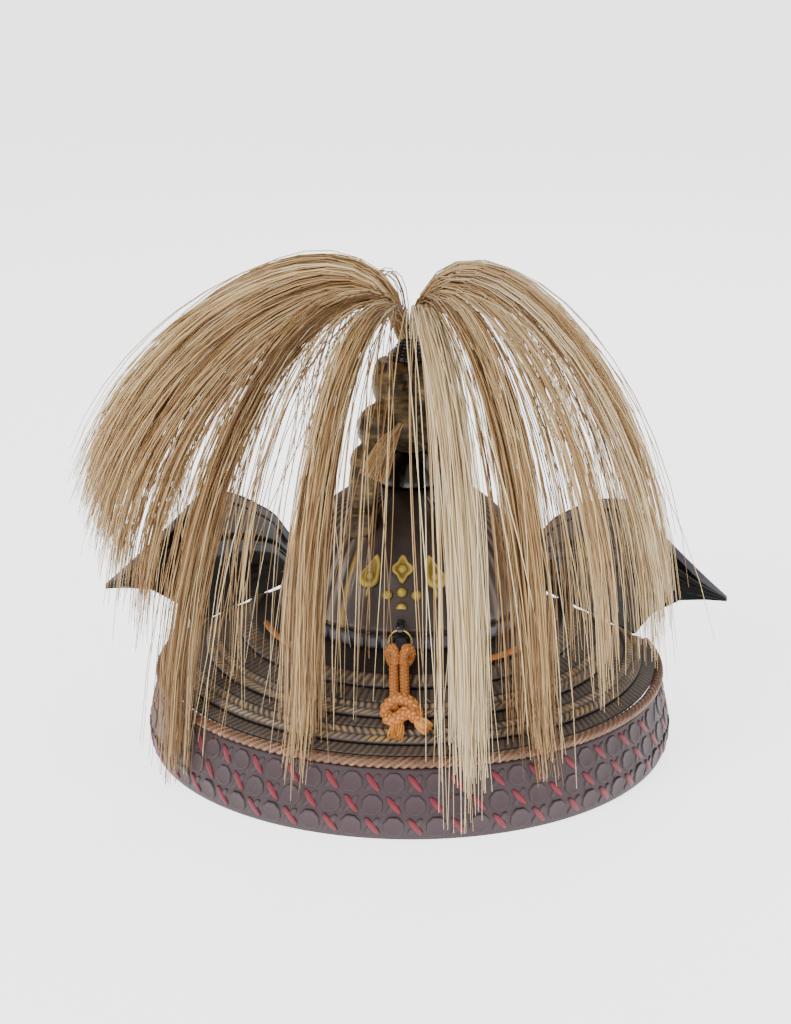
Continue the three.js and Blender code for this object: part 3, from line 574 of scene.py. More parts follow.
def scattered(name, places, across, upward, shape, finish, tone=None):
    """Copies of a small shape, its x along across and its y along upward at each place."""
    across, upward = np.asarray(across, float), np.asarray(upward, float)
    outward = np.cross(across, upward)
    turns = np.stack([across, np.cross(outward, across), outward], -1)
    turns /= np.linalg.norm(turns, axis=1)[:, None, :]
    lie = np.stack(
        [
            np.arctan2(turns[:, 2, 1], turns[:, 2, 2]),
            -np.arcsin(np.clip(turns[:, 2, 0], -1, 1)),
            np.arctan2(turns[:, 1, 0], turns[:, 0, 0]),
        ],
        -1,
    )
    mesh = make_mesh(name + "_points", places, [], {"tone": np.zeros(len(places)) if tone is None else tone})
    held = mesh.attributes.new("lie", "FLOAT_VECTOR", "POINT")
    held.data.foreach_set("vector", lie.astype(np.float32).ravel())
    made = grown(name, mesh, "scatter", Shape=shape, Material=finishes[finish])
    bpy.data.objects.remove(shape)
    return made


def small_shape(name, points, faces, values=None):
    """A small shape about its own origin, for copying; it stays out of the picture."""
    shape = make_object(name, make_mesh(name, np.asarray(points) - (0, AXIS_Y / MM, 0), faces, values))
    shape.hide_render = True
    return shape


# Cords come first among the pieces: two plaited legs from the hitch on the ring to the knot.
def plait(line, radius, flatten=1.0, carriers=4, lay=3.2, sides=40):
    """Rings and relief of a round braid along a line: two sets of helices crossing over and under."""
    line = np.asarray(line, float)
    across, square = frames_along(line)
    travel = np.concatenate([[0], np.cumsum(np.linalg.norm(np.diff(line, axis=0), axis=1))])
    theta = np.linspace(0, 2 * np.pi, sides, endpoint=False)[None, :]
    wind = (travel / (lay * radius) * 2 * np.pi)[:, None]

    def lobes(direction):
        off = (theta + direction * wind) * carriers / (2 * np.pi)
        off = 2 * (off - np.round(off))
        over = 0.62 + 0.38 * direction * np.cos(carriers * theta)
        return np.sqrt(np.clip(1 - off**2, 0, 1)) * over

    relief = np.maximum(lobes(1), lobes(-1))
    end = np.minimum(travel, travel[-1] - travel)[:, None]
    rounding = np.sqrt(np.clip(1 - np.clip(1 - end / (0.6 * radius), 0, 1) ** 2, 0.02, 1))
    reach = radius * (0.74 + 0.26 * relief) * rounding
    rings = line[:, None, :] + across[:, None, :] * (reach * np.cos(theta))[..., None]
    rings = rings + square[:, None, :] * (flatten * reach * np.sin(theta))[..., None]
    return rings, relief


def plait_object(name, lines, radius, **more):
    bodies, relief = [], []
    for line in lines:
        rings, heights = plait(line, radius, **more)
        bodies.append(body_through(rings))
        relief.append(heights.ravel())
    points, faces = joined(bodies)
    return make_object(name, make_mesh(name, points, faces, {"relief": np.concatenate(relief)}))


LEG_TOP_SHARE = 0.1
LEG_SHARES = [0.2, 0.29, 0.38, 0.47]
LEG_SHIFTS = [-0.2, 0.3, 0.9, 1.6]


def leg_line(side):
    """A leg's middle, from inside the hitch to inside the knot."""
    shares = np.linspace(LEG_TOP_SHARE, KNOT_SHARE + 0.02, 100)
    shifts = np.interp(shares, [LEG_TOP_SHARE, *LEG_SHARES, KNOT_SHARE], [-0.5, *LEG_SHIFTS, 2.4])
    return on_back(shifts + side * LEG_SPACING, shares, CORD_LIFT)


# The ring hangs in the staple's eye, its foot swung out, and the hitch wraps its foot.
ring_fall = np.array([0, -math.sin(math.radians(RING_TILT)), -math.cos(math.radians(RING_TILT))])
RING_DROP = 0.75
ring_centre = np.array(EYE) + ring_fall * RING_RADIUS - (0, 0, RING_DROP)
ring_foot = ring_centre + ring_fall * RING_RADIUS


def hitch_lines():
    """Each lobe climbs from behind its leg, bends over the ring and comes down beside the other lobe."""
    slope = on_back(0, LEG_TOP_SHARE + 0.1, CORD_LIFT)
    lines = []
    for side in (-1, 1):
        points = [
            slope + (side * 5.2, 3.0, 1.5),
            ring_foot + (side * 7.6, 1.5, -3.5),
            ring_foot + (side * 8.0, -0.5, 2.2),
            ring_foot + (side * 5.0, -3.4, 5.2),
            ring_foot + (side * 3.0, -5.0, -1.0),
            slope + (side * 3.6, -1.2, 2.0),
        ]
        lines.append(smooth_line(points, 70))
    return lines


def knot_place(across, down, lift):
    """Millimetres across, down the slope and off the lames from the knot's middle."""
    return on_back(KNOT_SHIFT + across, KNOT_SHARE + down / GUARD_RUN, lift)


def knot_lines():
    over = [(-9, 7, 2), (-11.5, 0.5, 5.5), (-6, -5.5, 9), (1, -5, 11), (8, -1, 10), (11, 5, 6), (9, 10, 3)]
    under = [(-10, 3, 4), (-9, 9, 6.5), (-4, 10.5, 9), (3, 6, 10.5), (9, 7, 9), (12.5, 11, 6)]
    return [smooth_line([knot_place(*place) for place in row], 80) for row in (over, under)]


# Where each brush of loosened fibre starts at the knot, the way it runs and its length
BRUSHES = (
    ((-2, 9, 7), (-0.15, 1.0, -0.12), 15),
    ((9.5, 8, 7), (0.75, 0.62, -0.1), 14),
)
BRUSH_FIBRES = 420


def frayed_ends():
    """Two brushes of loosened fibre below the knot: one straight down, one out to the right."""
    rng = np.random.default_rng(7)
    lines, tone = [], []
    for start, heading, length in BRUSHES:
        for _ in range(BRUSH_FIBRES):
            swing = rng.uniform(-1, 1)
            rise = rng.uniform(-1, 1) * math.sqrt(1 - swing * swing)
            t = np.linspace(0, 1, 7)[:, None]
            ahead = np.array(heading) * length * rng.uniform(0.75, 1.02)
            aside = np.array((heading[1], -heading[0], 0)) * swing * 5.6 + np.array((0, 0, 1)) * rise * 4.2
            place = np.array(start) + ahead * t + aside * (0.35 + 0.65 * np.sin(t * 1.9))
            place[:, 2] = np.maximum(place[:, 2], 1.2)
            lines.append(knot_place(*place.T))
            tone.append(rng.uniform(0.25, 0.95))
    return np.array(lines), tone


def add_cords():
    for side, name in SIDES:
        line = leg_line(side)
        leg = plait_object(f"braided_leg_{name}", [line], CORD / 2)
        dress(leg, "cord", "cord", f"cord_leg_{name}")
    hitch = plait_object("braided_hitch", hitch_lines(), 0.5 * CORD)
    dress(hitch, "cord", "cord", "cord_hitch")
    knot = plait_object("braided_knot", knot_lines(), 0.68 * CORD, lay=3.0)
    dress(knot, "cord", "cord", "cord_knot")
    lines, tone = frayed_ends()
    fray = fibres("frayed_ends", lines, 0.28, tone, "fray", 3)
    dress(fray, "fray", "cord")


add_cords()


# Bowl
STEPS_PER_RIB = 8
CROWN_TILT = 1.0
GILT_TURN = 27
GROOVE_TURN = 15.5


def bowl():
    """Ribbed outside, plain inside, its two skins joined round the foot and each closed at the crown."""
    rows, inner_rows = 34, 8
    turns = np.arange(360 // RIB_PITCH * STEPS_PER_RIB) * RIB_PITCH / STEPS_PER_RIB
    foot = math.degrees(math.acos((WAIST_TOP + SEAT_GAP - DOME_CENTRE) / DOME_RISE))
    turn, tilt = np.meshgrid(turns, np.linspace(CROWN_TILT, foot, rows), indexing="ij")
    from_rib = np.abs(turn % RIB_PITCH - RIB_PITCH / 2) * 2 / RIB_PITCH
    from_back = np.minimum(turn, 360 - turn)
    ridge = np.clip(1 - from_rib / 0.6, 0, 1) ** 0.6
    relief = ridge * ((from_back > PLAIN_HALF_TURN) * np.clip((tilt - 14) / 12, 0, 1))
    groove = np.exp(-(((from_back - GROOVE_TURN) / 0.5) ** 2)) * np.clip((tilt - 25) / 20, 0, 1)
    outside = on_dome(turn, tilt, RIB_HEIGHT * relief - 0.5 * groove)
    inside = on_dome(turns[:, None], np.linspace(foot, CROWN_TILT, inner_rows)[None, :], -BOWL_WALL)
    pad = np.zeros((len(turns), inner_rows))
    gilt = (np.abs(from_back - GILT_TURN) < 2.4) * relief * np.clip((tilt - 40) / 8, 0, 1)
    values = {"relief": np.concatenate([relief, pad], 1), "gilt": np.concatenate([gilt, pad], 1)}
    points, faces = body_through(np.concatenate([outside, inside], 1), goes_round=True)
    count = rows + inner_rows
    kept = [face for face in faces if sum(k % count in (0, count - 1) for k in face) < 4]
    kept.append([i * count for i in range(len(turns))])
    kept.append([i * count + count - 1 for i in reversed(range(len(turns)))])
    return make_object("ribbed_bowl", make_mesh("ribbed_bowl", points, kept, values))


dress(bowl(), "lacquer", "lacquer", "bowl")


# Waist band and its squares
def waist_ring():
    ease = 1.4
    section = [
        (0.8, WAIST_BOTTOM),
        (0.8, WAIST_TOP - ease),
        (ease, WAIST_TOP),
        (WAIST_WALL, WAIST_TOP),
        (WAIST_WALL, WAIST_BOTTOM),
    ]
    turns = np.linspace(0, 360, 180, endpoint=False)
    rings = np.stack(
        [on_ellipse(WAIST_HALF_WIDTH - i, WAIST_HALF_LENGTH - i, turns, z) for i, z in section], 1
    )
    return body_object("waist_ring", rings, {"relief": 0}, goes_round=True)


def pillow(outline, levels, depth):
    """Points, faces and relief of a raised shape: levels are pairs of the outline's shrink and a height."""
    outline = np.asarray(outline, float)
    levels = [(levels[0][0], -depth), *levels]
    rings = [np.c_[outline * shrink, np.full(len(outline), height)] for shrink, height in levels]
    points, faces = body_through(rings)
    return points, faces, np.clip(points[:, 2] / max(height for _, height in levels), 0, 1)


def pillow_shape(name, outline, levels, depth):
    points, faces, relief = pillow(outline, levels, depth)
    return small_shape(name, points, faces, {"relief": relief})


def rounded_square(half_width, half_height, round_by=0.35):
    turns = np.linspace(0, 2 * np.pi, 20, endpoint=False) + np.pi / 20
    x, y = np.cos(turns), np.sin(turns)
    grow = np.maximum(np.abs(x), np.abs(y)) ** (round_by - 1)
    return np.stack([x * grow * half_width, y * grow * half_height], -1)


def waist_squares():
    turns = ellipse_turns(WAIST_HALF_WIDTH, WAIST_HALF_LENGTH, 64)
    middle = (WAIST_BOTTOM + WAIST_TOP) / 2
    places = on_ellipse(WAIST_HALF_WIDTH - 0.9, WAIST_HALF_LENGTH - 0.9, turns, middle)
    across = np.gradient(places, axis=0)
    across[0], across[-1] = places[1] - places[0], places[-1] - places[-2]
    upward = np.broadcast_to((0.0, 0.0, 1.0), across.shape)
    levels = [(1.0, 0.0), (0.97, 0.5), (0.86, 0.85), (0.5, 1.0), (0.1, 1.02)]
    shape = pillow_shape("square", rounded_square(4.3, 4.9), levels, 0.6)
    return scattered("waist_squares", places, across, upward, shape, "waist")


def ellipse_turns(half_width, half_length, count):
    """Turns that share out an ellipse's edge evenly."""
    fine = np.linspace(0, 360, 2001)
    line = on_ellipse(half_width, half_length, fine, 0.0)
    travel = np.concatenate([[0], np.cumsum(np.linalg.norm(np.diff(line, axis=0), axis=1))])
    return np.interp(np.linspace(0, travel[-1], count, endpoint=False), travel, fine)


dress(waist_ring(), "waist", "lacquer", "waist_band")
dress(waist_squares(), "waist", "lacquer")


# Neck guard
LAMES = [
    {"start": 0.0, "end": 0.352, "cord": 0.29, "half": 0.056},
    {"start": 0.352, "end": 0.638, "cord": 0.532, "half": 0.034},
    {"start": 0.638, "end": 0.885, "cord": 0.775, "half": 0.034},
    {"start": 0.885, "end": 1.0, "cord": None, "half": 0},
]
# Rows of lacing down the guard. Pitch and height are in millimetres, lean is the lobes' slant in pitches over
# half a row, and square is how blunt a row's edges are.
LACING = [
    {"at": 0.285, "half": 0.066, "pitch": 6.4, "height": 2.0, "lean": 0.35, "square": 3, "gold": 0.2},
    {"at": 0.425, "half": 0.066, "pitch": 5.3, "height": 1.3, "lean": 0.15, "square": 8, "gold": 0.0},
    {"at": 0.532, "half": 0.031, "pitch": 5.4, "height": 2.3, "lean": 0.0, "square": 2.5, "gold": 0.6},
    {"at": 0.6, "half": 0.034, "pitch": 5.8, "height": 2.5, "lean": 0.9, "square": 2.5, "gold": 0.9},
    {"at": 0.69, "half": 0.046, "pitch": 5.3, "height": 1.3, "lean": 0.3, "square": 8, "gold": 0.0},
    {"at": 0.775, "half": 0.033, "pitch": 5.5, "height": 2.4, "lean": -0.35, "square": 2.5, "gold": 0.6},
    {"at": 0.845, "half": 0.034, "pitch": 5.5, "height": 2.5, "lean": 0.5, "square": 2.5, "gold": 0.8},
    {"at": 0.943, "half": 0.052, "pitch": 5.3, "height": 1.4, "lean": 0.4, "square": 8, "gold": 0.0},
]


def lacing(turn, share):
    """Height of the lacing and how golden it is at places on the guard."""
    height = np.zeros(np.broadcast(turn, share).shape)
    gold = np.zeros(height.shape)
    for row in LACING:
        radius = mix((WAIST_HALF_WIDTH + WAIST_HALF_LENGTH) / 2, GUARD_RADIUS, row["at"])
        pitch = math.degrees(row["pitch"] / radius)
        off = (share - row["at"]) / row["half"]
        env = np.clip(1 - np.abs(off) ** row["square"], 0, 1) ** (1 / row["square"])
        lobe = np.abs(np.cos(np.pi * (turn / pitch + row["lean"] * off))) ** 0.55
        height = np.maximum(height, row["height"] * env * lobe)
        gold = np.maximum(gold, row["gold"] * env)
    return height, gold


def lame(name, row, columns, rows):
    tuck = LAME_TUCK / GUARD_RUN
    turns = np.linspace(-GUARD_END, GUARD_END, columns)
    shares = np.concatenate([[row["start"] - tuck], np.linspace(row["start"], row["end"], rows)])
    ends = [row["start"], row["end"]]
    heights = [-LAME_STEP, -0.2]
    if row["cord"]:
        ends.insert(1, row["cord"] - row["half"])
        heights.insert(1, -LACED_FACE)
    base = np.interp(shares, ends, heights)
    turn, share = np.meshgrid(turns, shares, indexing="ij")
    laced, gold = lacing(turn, share)
    laced[:, 0] = 0
    front = on_guard(turn, share, base + laced)
    back_shares = np.array([row["end"], row["end"] - 1.3 * tuck, row["start"] - tuck])
    back_lifts = np.array([-LAME_WALL, -LAME_WALL, -LAME_STEP - LAME_WALL])
    rear = on_guard(turns[:, None], back_shares[None, :], back_lifts[None, :])
    rings = np.concatenate([front, rear], 1)
    behind = np.zeros((columns, 3))
    values = {
        "relief": np.concatenate([np.clip(laced / 2.2, 0, 1), behind], 1),
        "gold": np.concatenate([gold, behind], 1),
    }
    return body_object(name, rings, values)


for number, (row, columns, rows) in enumerate(zip(LAMES, (520, 800, 860, 900), (26, 30, 26, 14)), 1):
    dress(lame(f"laced_lame_{number}", row, columns, rows), "lame", "lame", f"neck_lame_{number}")


# Border rope and rim band
ROPE_AHEAD = ROPE_RADIUS + SEAT_GAP
ROPE_OUT = GUARD_RADIUS + ROPE_AHEAD * math.cos(GUARD_SLOPE) - LAME_WALL / 2 * math.sin(GUARD_SLOPE)
ROPE_Z = GUARD_BOTTOM - ROPE_AHEAD * math.sin(GUARD_SLOPE) - LAME_WALL / 2 * math.cos(GUARD_SLOPE)
RIM_TOP = ROPE_Z - ROPE_RADIUS - SEAT_GAP
RIM_TOP_RADIUS = ROPE_OUT + 0.5
RIM_FLARE = 9
RIM_WALL = 3
RIM_FACE = {"up": [0, 0.25, 0.42, 0.68, 1], "out": [0.8, 1, 0.83, 0.45, 0]}


def border_rope():
    turns = np.linspace(-GUARD_END, GUARD_END, 860)[:, None]
    theta = np.linspace(0, 2 * np.pi, 16, endpoint=False)[None, :]
    pitch = math.degrees(6.3 / ROPE_OUT)
    lobe = np.abs(np.cos(np.pi * (turns / pitch - 0.9 * np.sin(theta - 0.5)))) ** 0.6
    reach = ROPE_RADIUS * (0.76 + 0.28 * lobe)
    radius = ROPE_OUT + reach * np.cos(theta)
    rings = on_ellipse(1.0, 1.0, turns, 0.0) * radius[..., None]
    rings[..., 2] = ROPE_Z + reach * np.sin(theta)
    return body_object("twisted_border", rings, {"relief": lobe})


def rim_radius(up):
    """The rim's outside at a share of its height, rounded between the levels of its table."""
    out = np.interp(up, RIM_FACE["up"], RIM_FACE["out"])
    belly = 0.06 * np.sin(np.pi * np.clip((up - 0.42) / 0.58, 0, 1))
    return RIM_TOP_RADIUS + (out + belly) * RIM_FLARE


def rim_wall():
    turns = np.linspace(-GUARD_END, GUARD_END, 220)
    up = np.linspace(0, 1, 24)
    levels = [0.0, 0.25, 1.0]
    out = [rim_radius(u) for u in up] + [rim_radius(u) - RIM_WALL for u in reversed(levels)]
    z = [u * RIM_TOP for u in up] + [u * RIM_TOP for u in reversed(levels)]
    rings = np.stack([on_ellipse(r, r, turns, h) for r, h in zip(out, z)], 1)
    return body_object("deep_rim", rings, {"relief": 0.5})


def octagon(radius):
    turns = np.radians(np.arange(8) * 45 + 22.5)
    return np.stack([radius * np.cos(turns), radius * np.sin(turns)], -1)


def stroke_outline(length, width):
    turns = np.linspace(0, 2 * np.pi, 14, endpoint=False)
    blunt = np.sign(np.sin(turns)) * np.abs(np.sin(turns)) ** 0.8
    return np.stack([np.cos(turns) * length, blunt * width], -1)


def rotated(outline, degrees):
    c, s = math.cos(math.radians(degrees)), math.sin(math.radians(degrees))
    return outline @ np.array([[c, s], [-s, c]])


RIM_COLUMNS = 49
RIM_ROWS = (0.8, 0.5, 0.2)


def rim_places(odd):
    """Every second cell of the rim's pattern, with the ways across and up it."""
    places, across, upward = [], [], []
    for row, up in enumerate(RIM_ROWS):
        for column in range(RIM_COLUMNS):
            if (row + column) % 2 != odd:
                continue
            turn = mix(-GUARD_END + 2.6, GUARD_END - 2.6, column / (RIM_COLUMNS - 1))
            here = on_ellipse(rim_radius(up), rim_radius(up), turn, up * RIM_TOP)
            above = on_ellipse(rim_radius(up + 0.1), rim_radius(up + 0.1), turn, (up + 0.1) * RIM_TOP)
            below = on_ellipse(rim_radius(up - 0.1), rim_radius(up - 0.1), turn, (up - 0.1) * RIM_TOP)
            places.append(here)
            upward.append(above - below)
            across.append((math.cos(math.radians(turn)), math.sin(math.radians(turn)), 0))
    return places, across, upward


# The share of strokes worn away, and each stroke's name, lean in degrees, finish and height
STROKES_WORN = 0.08
STROKES = (("rim_strokes", -52, "stroke", 1.5), ("rim_cross_strokes", 52, "rim", 0.7))


def rim_relief():
    raised = [(1.0, -0.2), (0.97, 0.5), (0.9, 0.9), (0.8, 0.7), (0.3, 0.6)]
    disc = pillow_shape("disc", octagon(8.3), raised, 0.9)
    dress(scattered("rim_discs", *rim_places(0), disc, "rim"), "rim", "rim")
    rng = np.random.default_rng(3)
    for name, lean, finish, height in STROKES:
        swell = ((0.92, 0.4), (0.7, 0.75), (0.35, 0.95), (0.08, 1.0))
        levels = [(1.0, -0.1), *((shrink, share * height) for shrink, share in swell)]
        stroke = pillow_shape("stroke", rotated(stroke_outline(8.4, 2.6), lean), levels, 0.9)
        places = [np.array(column) for column in rim_places(1)]
        kept = rng.random(len(places[0])) > STROKES_WORN
        dress(scattered(name, *(column[kept] for column in places), stroke, finish), finish, "rim")


dress(border_rope(), "rope", "rope", "border_rope")
dress(rim_wall(), "rim", "rim", "rim_band")
rim_relief()


# Side wings, in upright columns from root to tip, as part of the tip's distance and the peak's height
WING_TIP = 258
WING_PEAK = 177.5
WING_LEAN = 0.15
WING_HOLLOW = 11
WING_FLANGE = 8
WING_STEP = 3.6
WING_WALL = 3
WING_SEAT = 0.7
WING = {
    "across": [0.39, 0.44, 0.5, 0.55, 0.6, 0.67, 0.71, 0.765, 0.85, 0.93, 1],
    "top": [0.845, 0.925, 0.965, 0.99, 1, 0.986, 0.945, 0.862, 0.74, 0.63, 0.54],
    "low": [None, None, None, None, None, None, None, 0.457, 0.52, 0.525, 0.52],
    "hollow": [0.3, 0.8, 1, 1, 1, 1, 0.9, 0.8, 0.5, 0.2, 0],
}


def wing_root(x):
    """Where the cut end of the guard stands at a distance from the helmet's middle."""
    level = math.sin(math.radians(GUARD_END))
    share = (x / level - WAIST_HALF_WIDTH) / (GUARD_RADIUS - WAIST_HALF_WIDTH)
    return on_guard(GUARD_END, np.minimum(1, share), 0.0)


def wing(side):
    columns, rows = 90, 44
    across = np.linspace(WING["across"][0], 1, columns)
    x = across * WING_TIP
    root = wing_root(x)
    table_x = np.array(WING["across"]) * WING_TIP
    low_z = [WING_PEAK * low if low else wing_root(tx)[2] for low, tx in zip(WING["low"], table_x)]
    low = np.interp(across, WING["across"], low_z)
    soft = smooth_line(np.stack([WING["across"], WING["top"], WING["hollow"]], -1), 200)
    top = np.interp(across, soft[:, 0], soft[:, 1]) * WING_PEAK
    hollow = np.interp(across, soft[:, 0], soft[:, 2]).clip(0, 1)[:, None]
    flange = np.minimum(0.35, WING_FLANGE / (top - low))[:, None]
    v = np.linspace(0, 1, rows)[None, :]
    z = mix(low[:, None], top[:, None], v)
    within = v < 1 - flange
    w = np.clip(v / (1 - flange), 0, 1)
    step = WING_STEP * np.clip(4 * v, 0, 1) * np.clip((1 - flange - v) / 0.03, 0, 1)
    bow = (WING_HOLLOW * np.sin(np.pi * v) + step) * hollow
    y = root[:, 1:2] + (WING_SEAT + WING_WALL) / math.sin(math.radians(GUARD_END))
    y = y + WING_LEAN * (z - root[:, 2:3]) + bow
    flute = 2.4 * (1 - np.abs(np.sin(np.pi * 3 * (w**0.8)))) ** 2 * within * np.sin(np.pi * w) * hollow**0.5
    front = np.stack([np.broadcast_to(side * x[:, None], z.shape), y, z], -1)
    rear = front - np.stack([0 * z, WING_WALL + flute, 0 * z], -1)
    rings = np.concatenate([front, rear[:, ::-1]], 1)
    # The flange mask: where the wing's finish paints sheen as grey.
    edge = np.concatenate([~within, ~within[:, ::-1]], 1)
    name = "swept_wing_" + ("left" if side < 0 else "right")
    return body_object(name, rings, {"flange": edge}, walls=True)


for side, name in SIDES:
    dress(wing(side), "wing", "wing", "wing_" + name)


# Peak over the brow
VISOR_REACH = 34
VISOR_HALF_TURN = 38
VISOR_DROP = 15
VISOR_WALL = 2.6


def visor():
    swing = np.linspace(-1, 1, 61)[:, None]
    out = np.linspace(0, 1, 16)[None, :]
    down = np.interp(out, [0, 0.35, 0.75, 1], [0, 0.2, 0.6, 1])
    stand = SEAT_GAP + out * VISOR_REACH * np.sqrt(1 - 0.9 * swing**2)
    z = (WAIST_BOTTOM + WAIST_TOP) / 2 - down * VISOR_DROP + 0 * stand
    turn = np.broadcast_to(180 - swing * VISOR_HALF_TURN, stand.shape)
    top = on_ellipse(WAIST_HALF_WIDTH + stand, WAIST_HALF_LENGTH + stand, turn, z)
    under = top - (0, 0, VISOR_WALL)
    rings = np.concatenate([top, under[:, ::-1]], 1)
    return body_object("brow_peak", rings, {"relief": 0, "gilt": 0}, walls=True)


dress(visor(), "lacquer", "lacquer", "visor")


# Crown boss and the bound neck under the plume
BOSS_RADIUS = 26
BOSS_HEIGHT = 25
CROWN = DOME_CENTRE + DOME_RISE


def crown_boss():
    swell = np.linspace(0, np.pi / 2, 18)
    rows = [(BOSS_RADIUS * math.cos(a) ** 0.7, CROWN - 2 + (BOSS_HEIGHT + 2) * math.sin(a)) for a in swell]
    under = [(r, CROWN + 0.5 - DOME_RISE * (1 - math.sqrt(1 - (r / 100) ** 2))) for r in (2, 14, 25.9)]
    profile = [*under, *rows[1:-1], (0.4, CROWN + BOSS_HEIGHT)]
    return body_object("crown_knob", turned_body(profile, 48))


def bound_neck():
    slim = 9 / 17
    heights = np.linspace(0, 1, 60)
    shape = np.interp(heights, [0, 0.2, 0.5, 0.8, 1], [1, 1, mix(slim, 1, 0.35), slim, slim])
    wraps = 0.7 * np.abs(np.sin(heights * np.pi * 7))
    profile = [(17 * s - 0.7 + w, NECK_BOTTOM + h * NECK_HEIGHT) for s, w, h in zip(shape, wraps, heights)]
    return body_object("bound_neck", turned_body(profile, 48) + (0, NECK_Y, 0))


dress(crown_boss(), "black", "black", "crown_boss")
dress(bound_neck(), "black", "black", "crest_neck")


# Crest: rounded masses run together, as a casting is
CREST = (44, 62, NECK_BOTTOM - SEAT_GAP - (CROWN - 29))
CREST_FOOT = CROWN - 29
MASSES = [
    {"shape": "round", "at": (0, -0.18, 0.64), "half": (0.66, 0.44, 0.22), "paired": False},
    {"shape": "round", "at": (0.5, -0.42, 0.6), "half": (0.4, 0.34, 0.15), "paired": True},
    {"shape": "round", "at": (0.66, -0.68, 0.42), "half": (0.34, 0.28, 0.12), "paired": True},
    {"shape": "block", "at": (0.74, -0.8, 0.26), "half": (0.24, 0.16, 0.2), "paired": True},
    {"shape": "block", "at": (0.76, -0.96, 0.08), "half": (0.28, 0.2, 0.09), "paired": True},
    {"shape": "round", "at": (0.3, -0.22, 0.86), "half": (0.36, 0.34, 0.19), "paired": True},
    {"shape": "round", "at": (0.46, 0.42, 0.42), "half": (0.26, 0.26, 0.34), "paired": True},
    {"shape": "block", "at": (0.54, 0.6, 0.14), "half": (0.26, 0.24, 0.08), "paired": True},
    {"shape": "round", "at": (0, 0.34, 0.8), "half": (0.52, 0.42, 0.18), "paired": False},
    {"shape": "block", "at": (0, 0.74, 0.74), "half": (0.28, 0.2, 0.08), "paired": False},
    {"shape": "round", "at": (0, -0.16, 0.93), "half": (0.42, 0.3, 0.07), "paired": False},
]


def ball(centre, half, rows=12, sides=20, power=1.0):
    """A rounded mass; a power under 1 squares it up."""
    tilt = np.linspace(0.02, np.pi - 0.02, rows)[:, None]
    turn = np.linspace(0, 2 * np.pi, sides, endpoint=False)[None, :]

    def ease(value):
        return np.sign(value) * np.abs(value) ** power

    x = ease(np.sin(tilt)) * ease(np.cos(turn))
    y = ease(np.sin(tilt)) * ease(np.sin(turn))
    z = np.broadcast_to(ease(np.cos(tilt)), x.shape)
    return body_through(np.stack([x, y, z], -1) * half + centre)


def run_together(name, bodies, voxel, smoothing):
    """The mesh of bodies fused by a voxel remesh and smoothed, and its points in millimetres."""
    points, faces = joined(bodies)
    rough = make_object(name + "_rough", make_mesh(name + "_rough", points, faces))
    remesh = rough.modifiers.new("remesh", "REMESH")
    remesh.mode = "VOXEL"
    remesh.voxel_size = voxel * MM
    smooth = rough.modifiers.new("smooth", "SMOOTH")
    smooth.iterations = smoothing
    seen = rough.evaluated_get(bpy.context.evaluated_depsgraph_get())
    mesh = bpy.data.meshes.new_from_object(seen)
    bpy.data.objects.remove(rough)
    placed = np.zeros(len(mesh.vertices) * 3)
    mesh.vertices.foreach_get("co", placed)
    return mesh, (placed.reshape(-1, 3) - (0, AXIS_Y, 0)) / MM


def set_points(mesh, points, values=None):
    mesh.vertices.foreach_set("co", (np.asarray(points) * MM + (0, AXIS_Y, 0)).ravel())
    for key, numbers in (values or {}).items():
        mesh.attributes.new(key, "FLOAT", "POINT").data.foreach_set("value", numbers.astype(np.float32))
    mesh.polygons.foreach_set("use_smooth", [True] * len(mesh.polygons))
    mesh.update()


def off_dome(points, more):
    """Points that lie inside the dome moved out to it."""
    centred = points - (0, 0, DOME_CENTRE)
    half = np.array([WAIST_HALF_WIDTH - WAIST_STEP, WAIST_HALF_LENGTH - WAIST_STEP, DOME_RISE]) + more
    depth = np.linalg.norm(centred / half, axis=1)
    return centred * np.maximum(1, 1 / np.maximum(depth, 0.5))[:, None] + (0, 0, DOME_CENTRE)


def crest():
    bodies = []
    scale = np.array(CREST)
    for mass in MASSES:
        for side in (-1, 1) if mass["paired"] else (1,):
            centre = np.array(mass["at"]) * scale * (side, 1, 1) + (0, 0, CREST_FOOT)
            power = 0.45 if mass["shape"] == "block" else 1.0
            bodies.append(ball(centre, np.array(mass["half"]) * scale, power=power))
    mesh, points = run_together("crest", bodies, 1.5, 3)
    points = off_dome(points, SEAT_GAP + RIB_HEIGHT)
    points[:, 2] = np.minimum(points[:, 2], NECK_BOTTOM - SEAT_GAP)
    set_points(mesh, points, {"hollow": np.zeros(len(points))})
    return make_object("cast_crest", mesh)


dress(crest(), "crest", "crest", "crest_figure")


# Gilded relief on the plain back of the bowl
def set_on_bowl(name, turn, tilt, parts):
    """Raised shapes on the bowl's back: each part is an outline, its levels and its place across and up."""
    foot = on_dome(turn, tilt, 0.0)
    upward = on_dome(turn, tilt - 0.5, 0.0) - foot
    across = on_dome(turn + 0.5, tilt, 0.0) - foot
    upward /= np.linalg.norm(upward)
    across /= np.linalg.norm(across)
    outward = np.cross(across, upward)
    bodies, relief = [], []
    for outline, levels, (aside, above) in parts:
        points, faces, heights = pillow(outline, levels, 1.2)
        points = points + (aside, above, SEAT_GAP)
        bodies.append((foot + points @ np.stack([across, upward, outward]), faces))
        relief.append(heights)
    points, faces = joined(bodies)
    return make_object(name, make_mesh(name, points, faces, {"relief": np.concatenate(relief)}))


def lobed_outline(radius, lobes, depth, squash=(1, 1), count=48):
    turns = np.linspace(0, 2 * np.pi, count, endpoint=False)
    reach = radius * (1 - depth + depth * np.cos(lobes * turns))
    return np.stack([reach * np.cos(turns) * squash[0], reach * np.sin(turns) * squash[1]], -1)


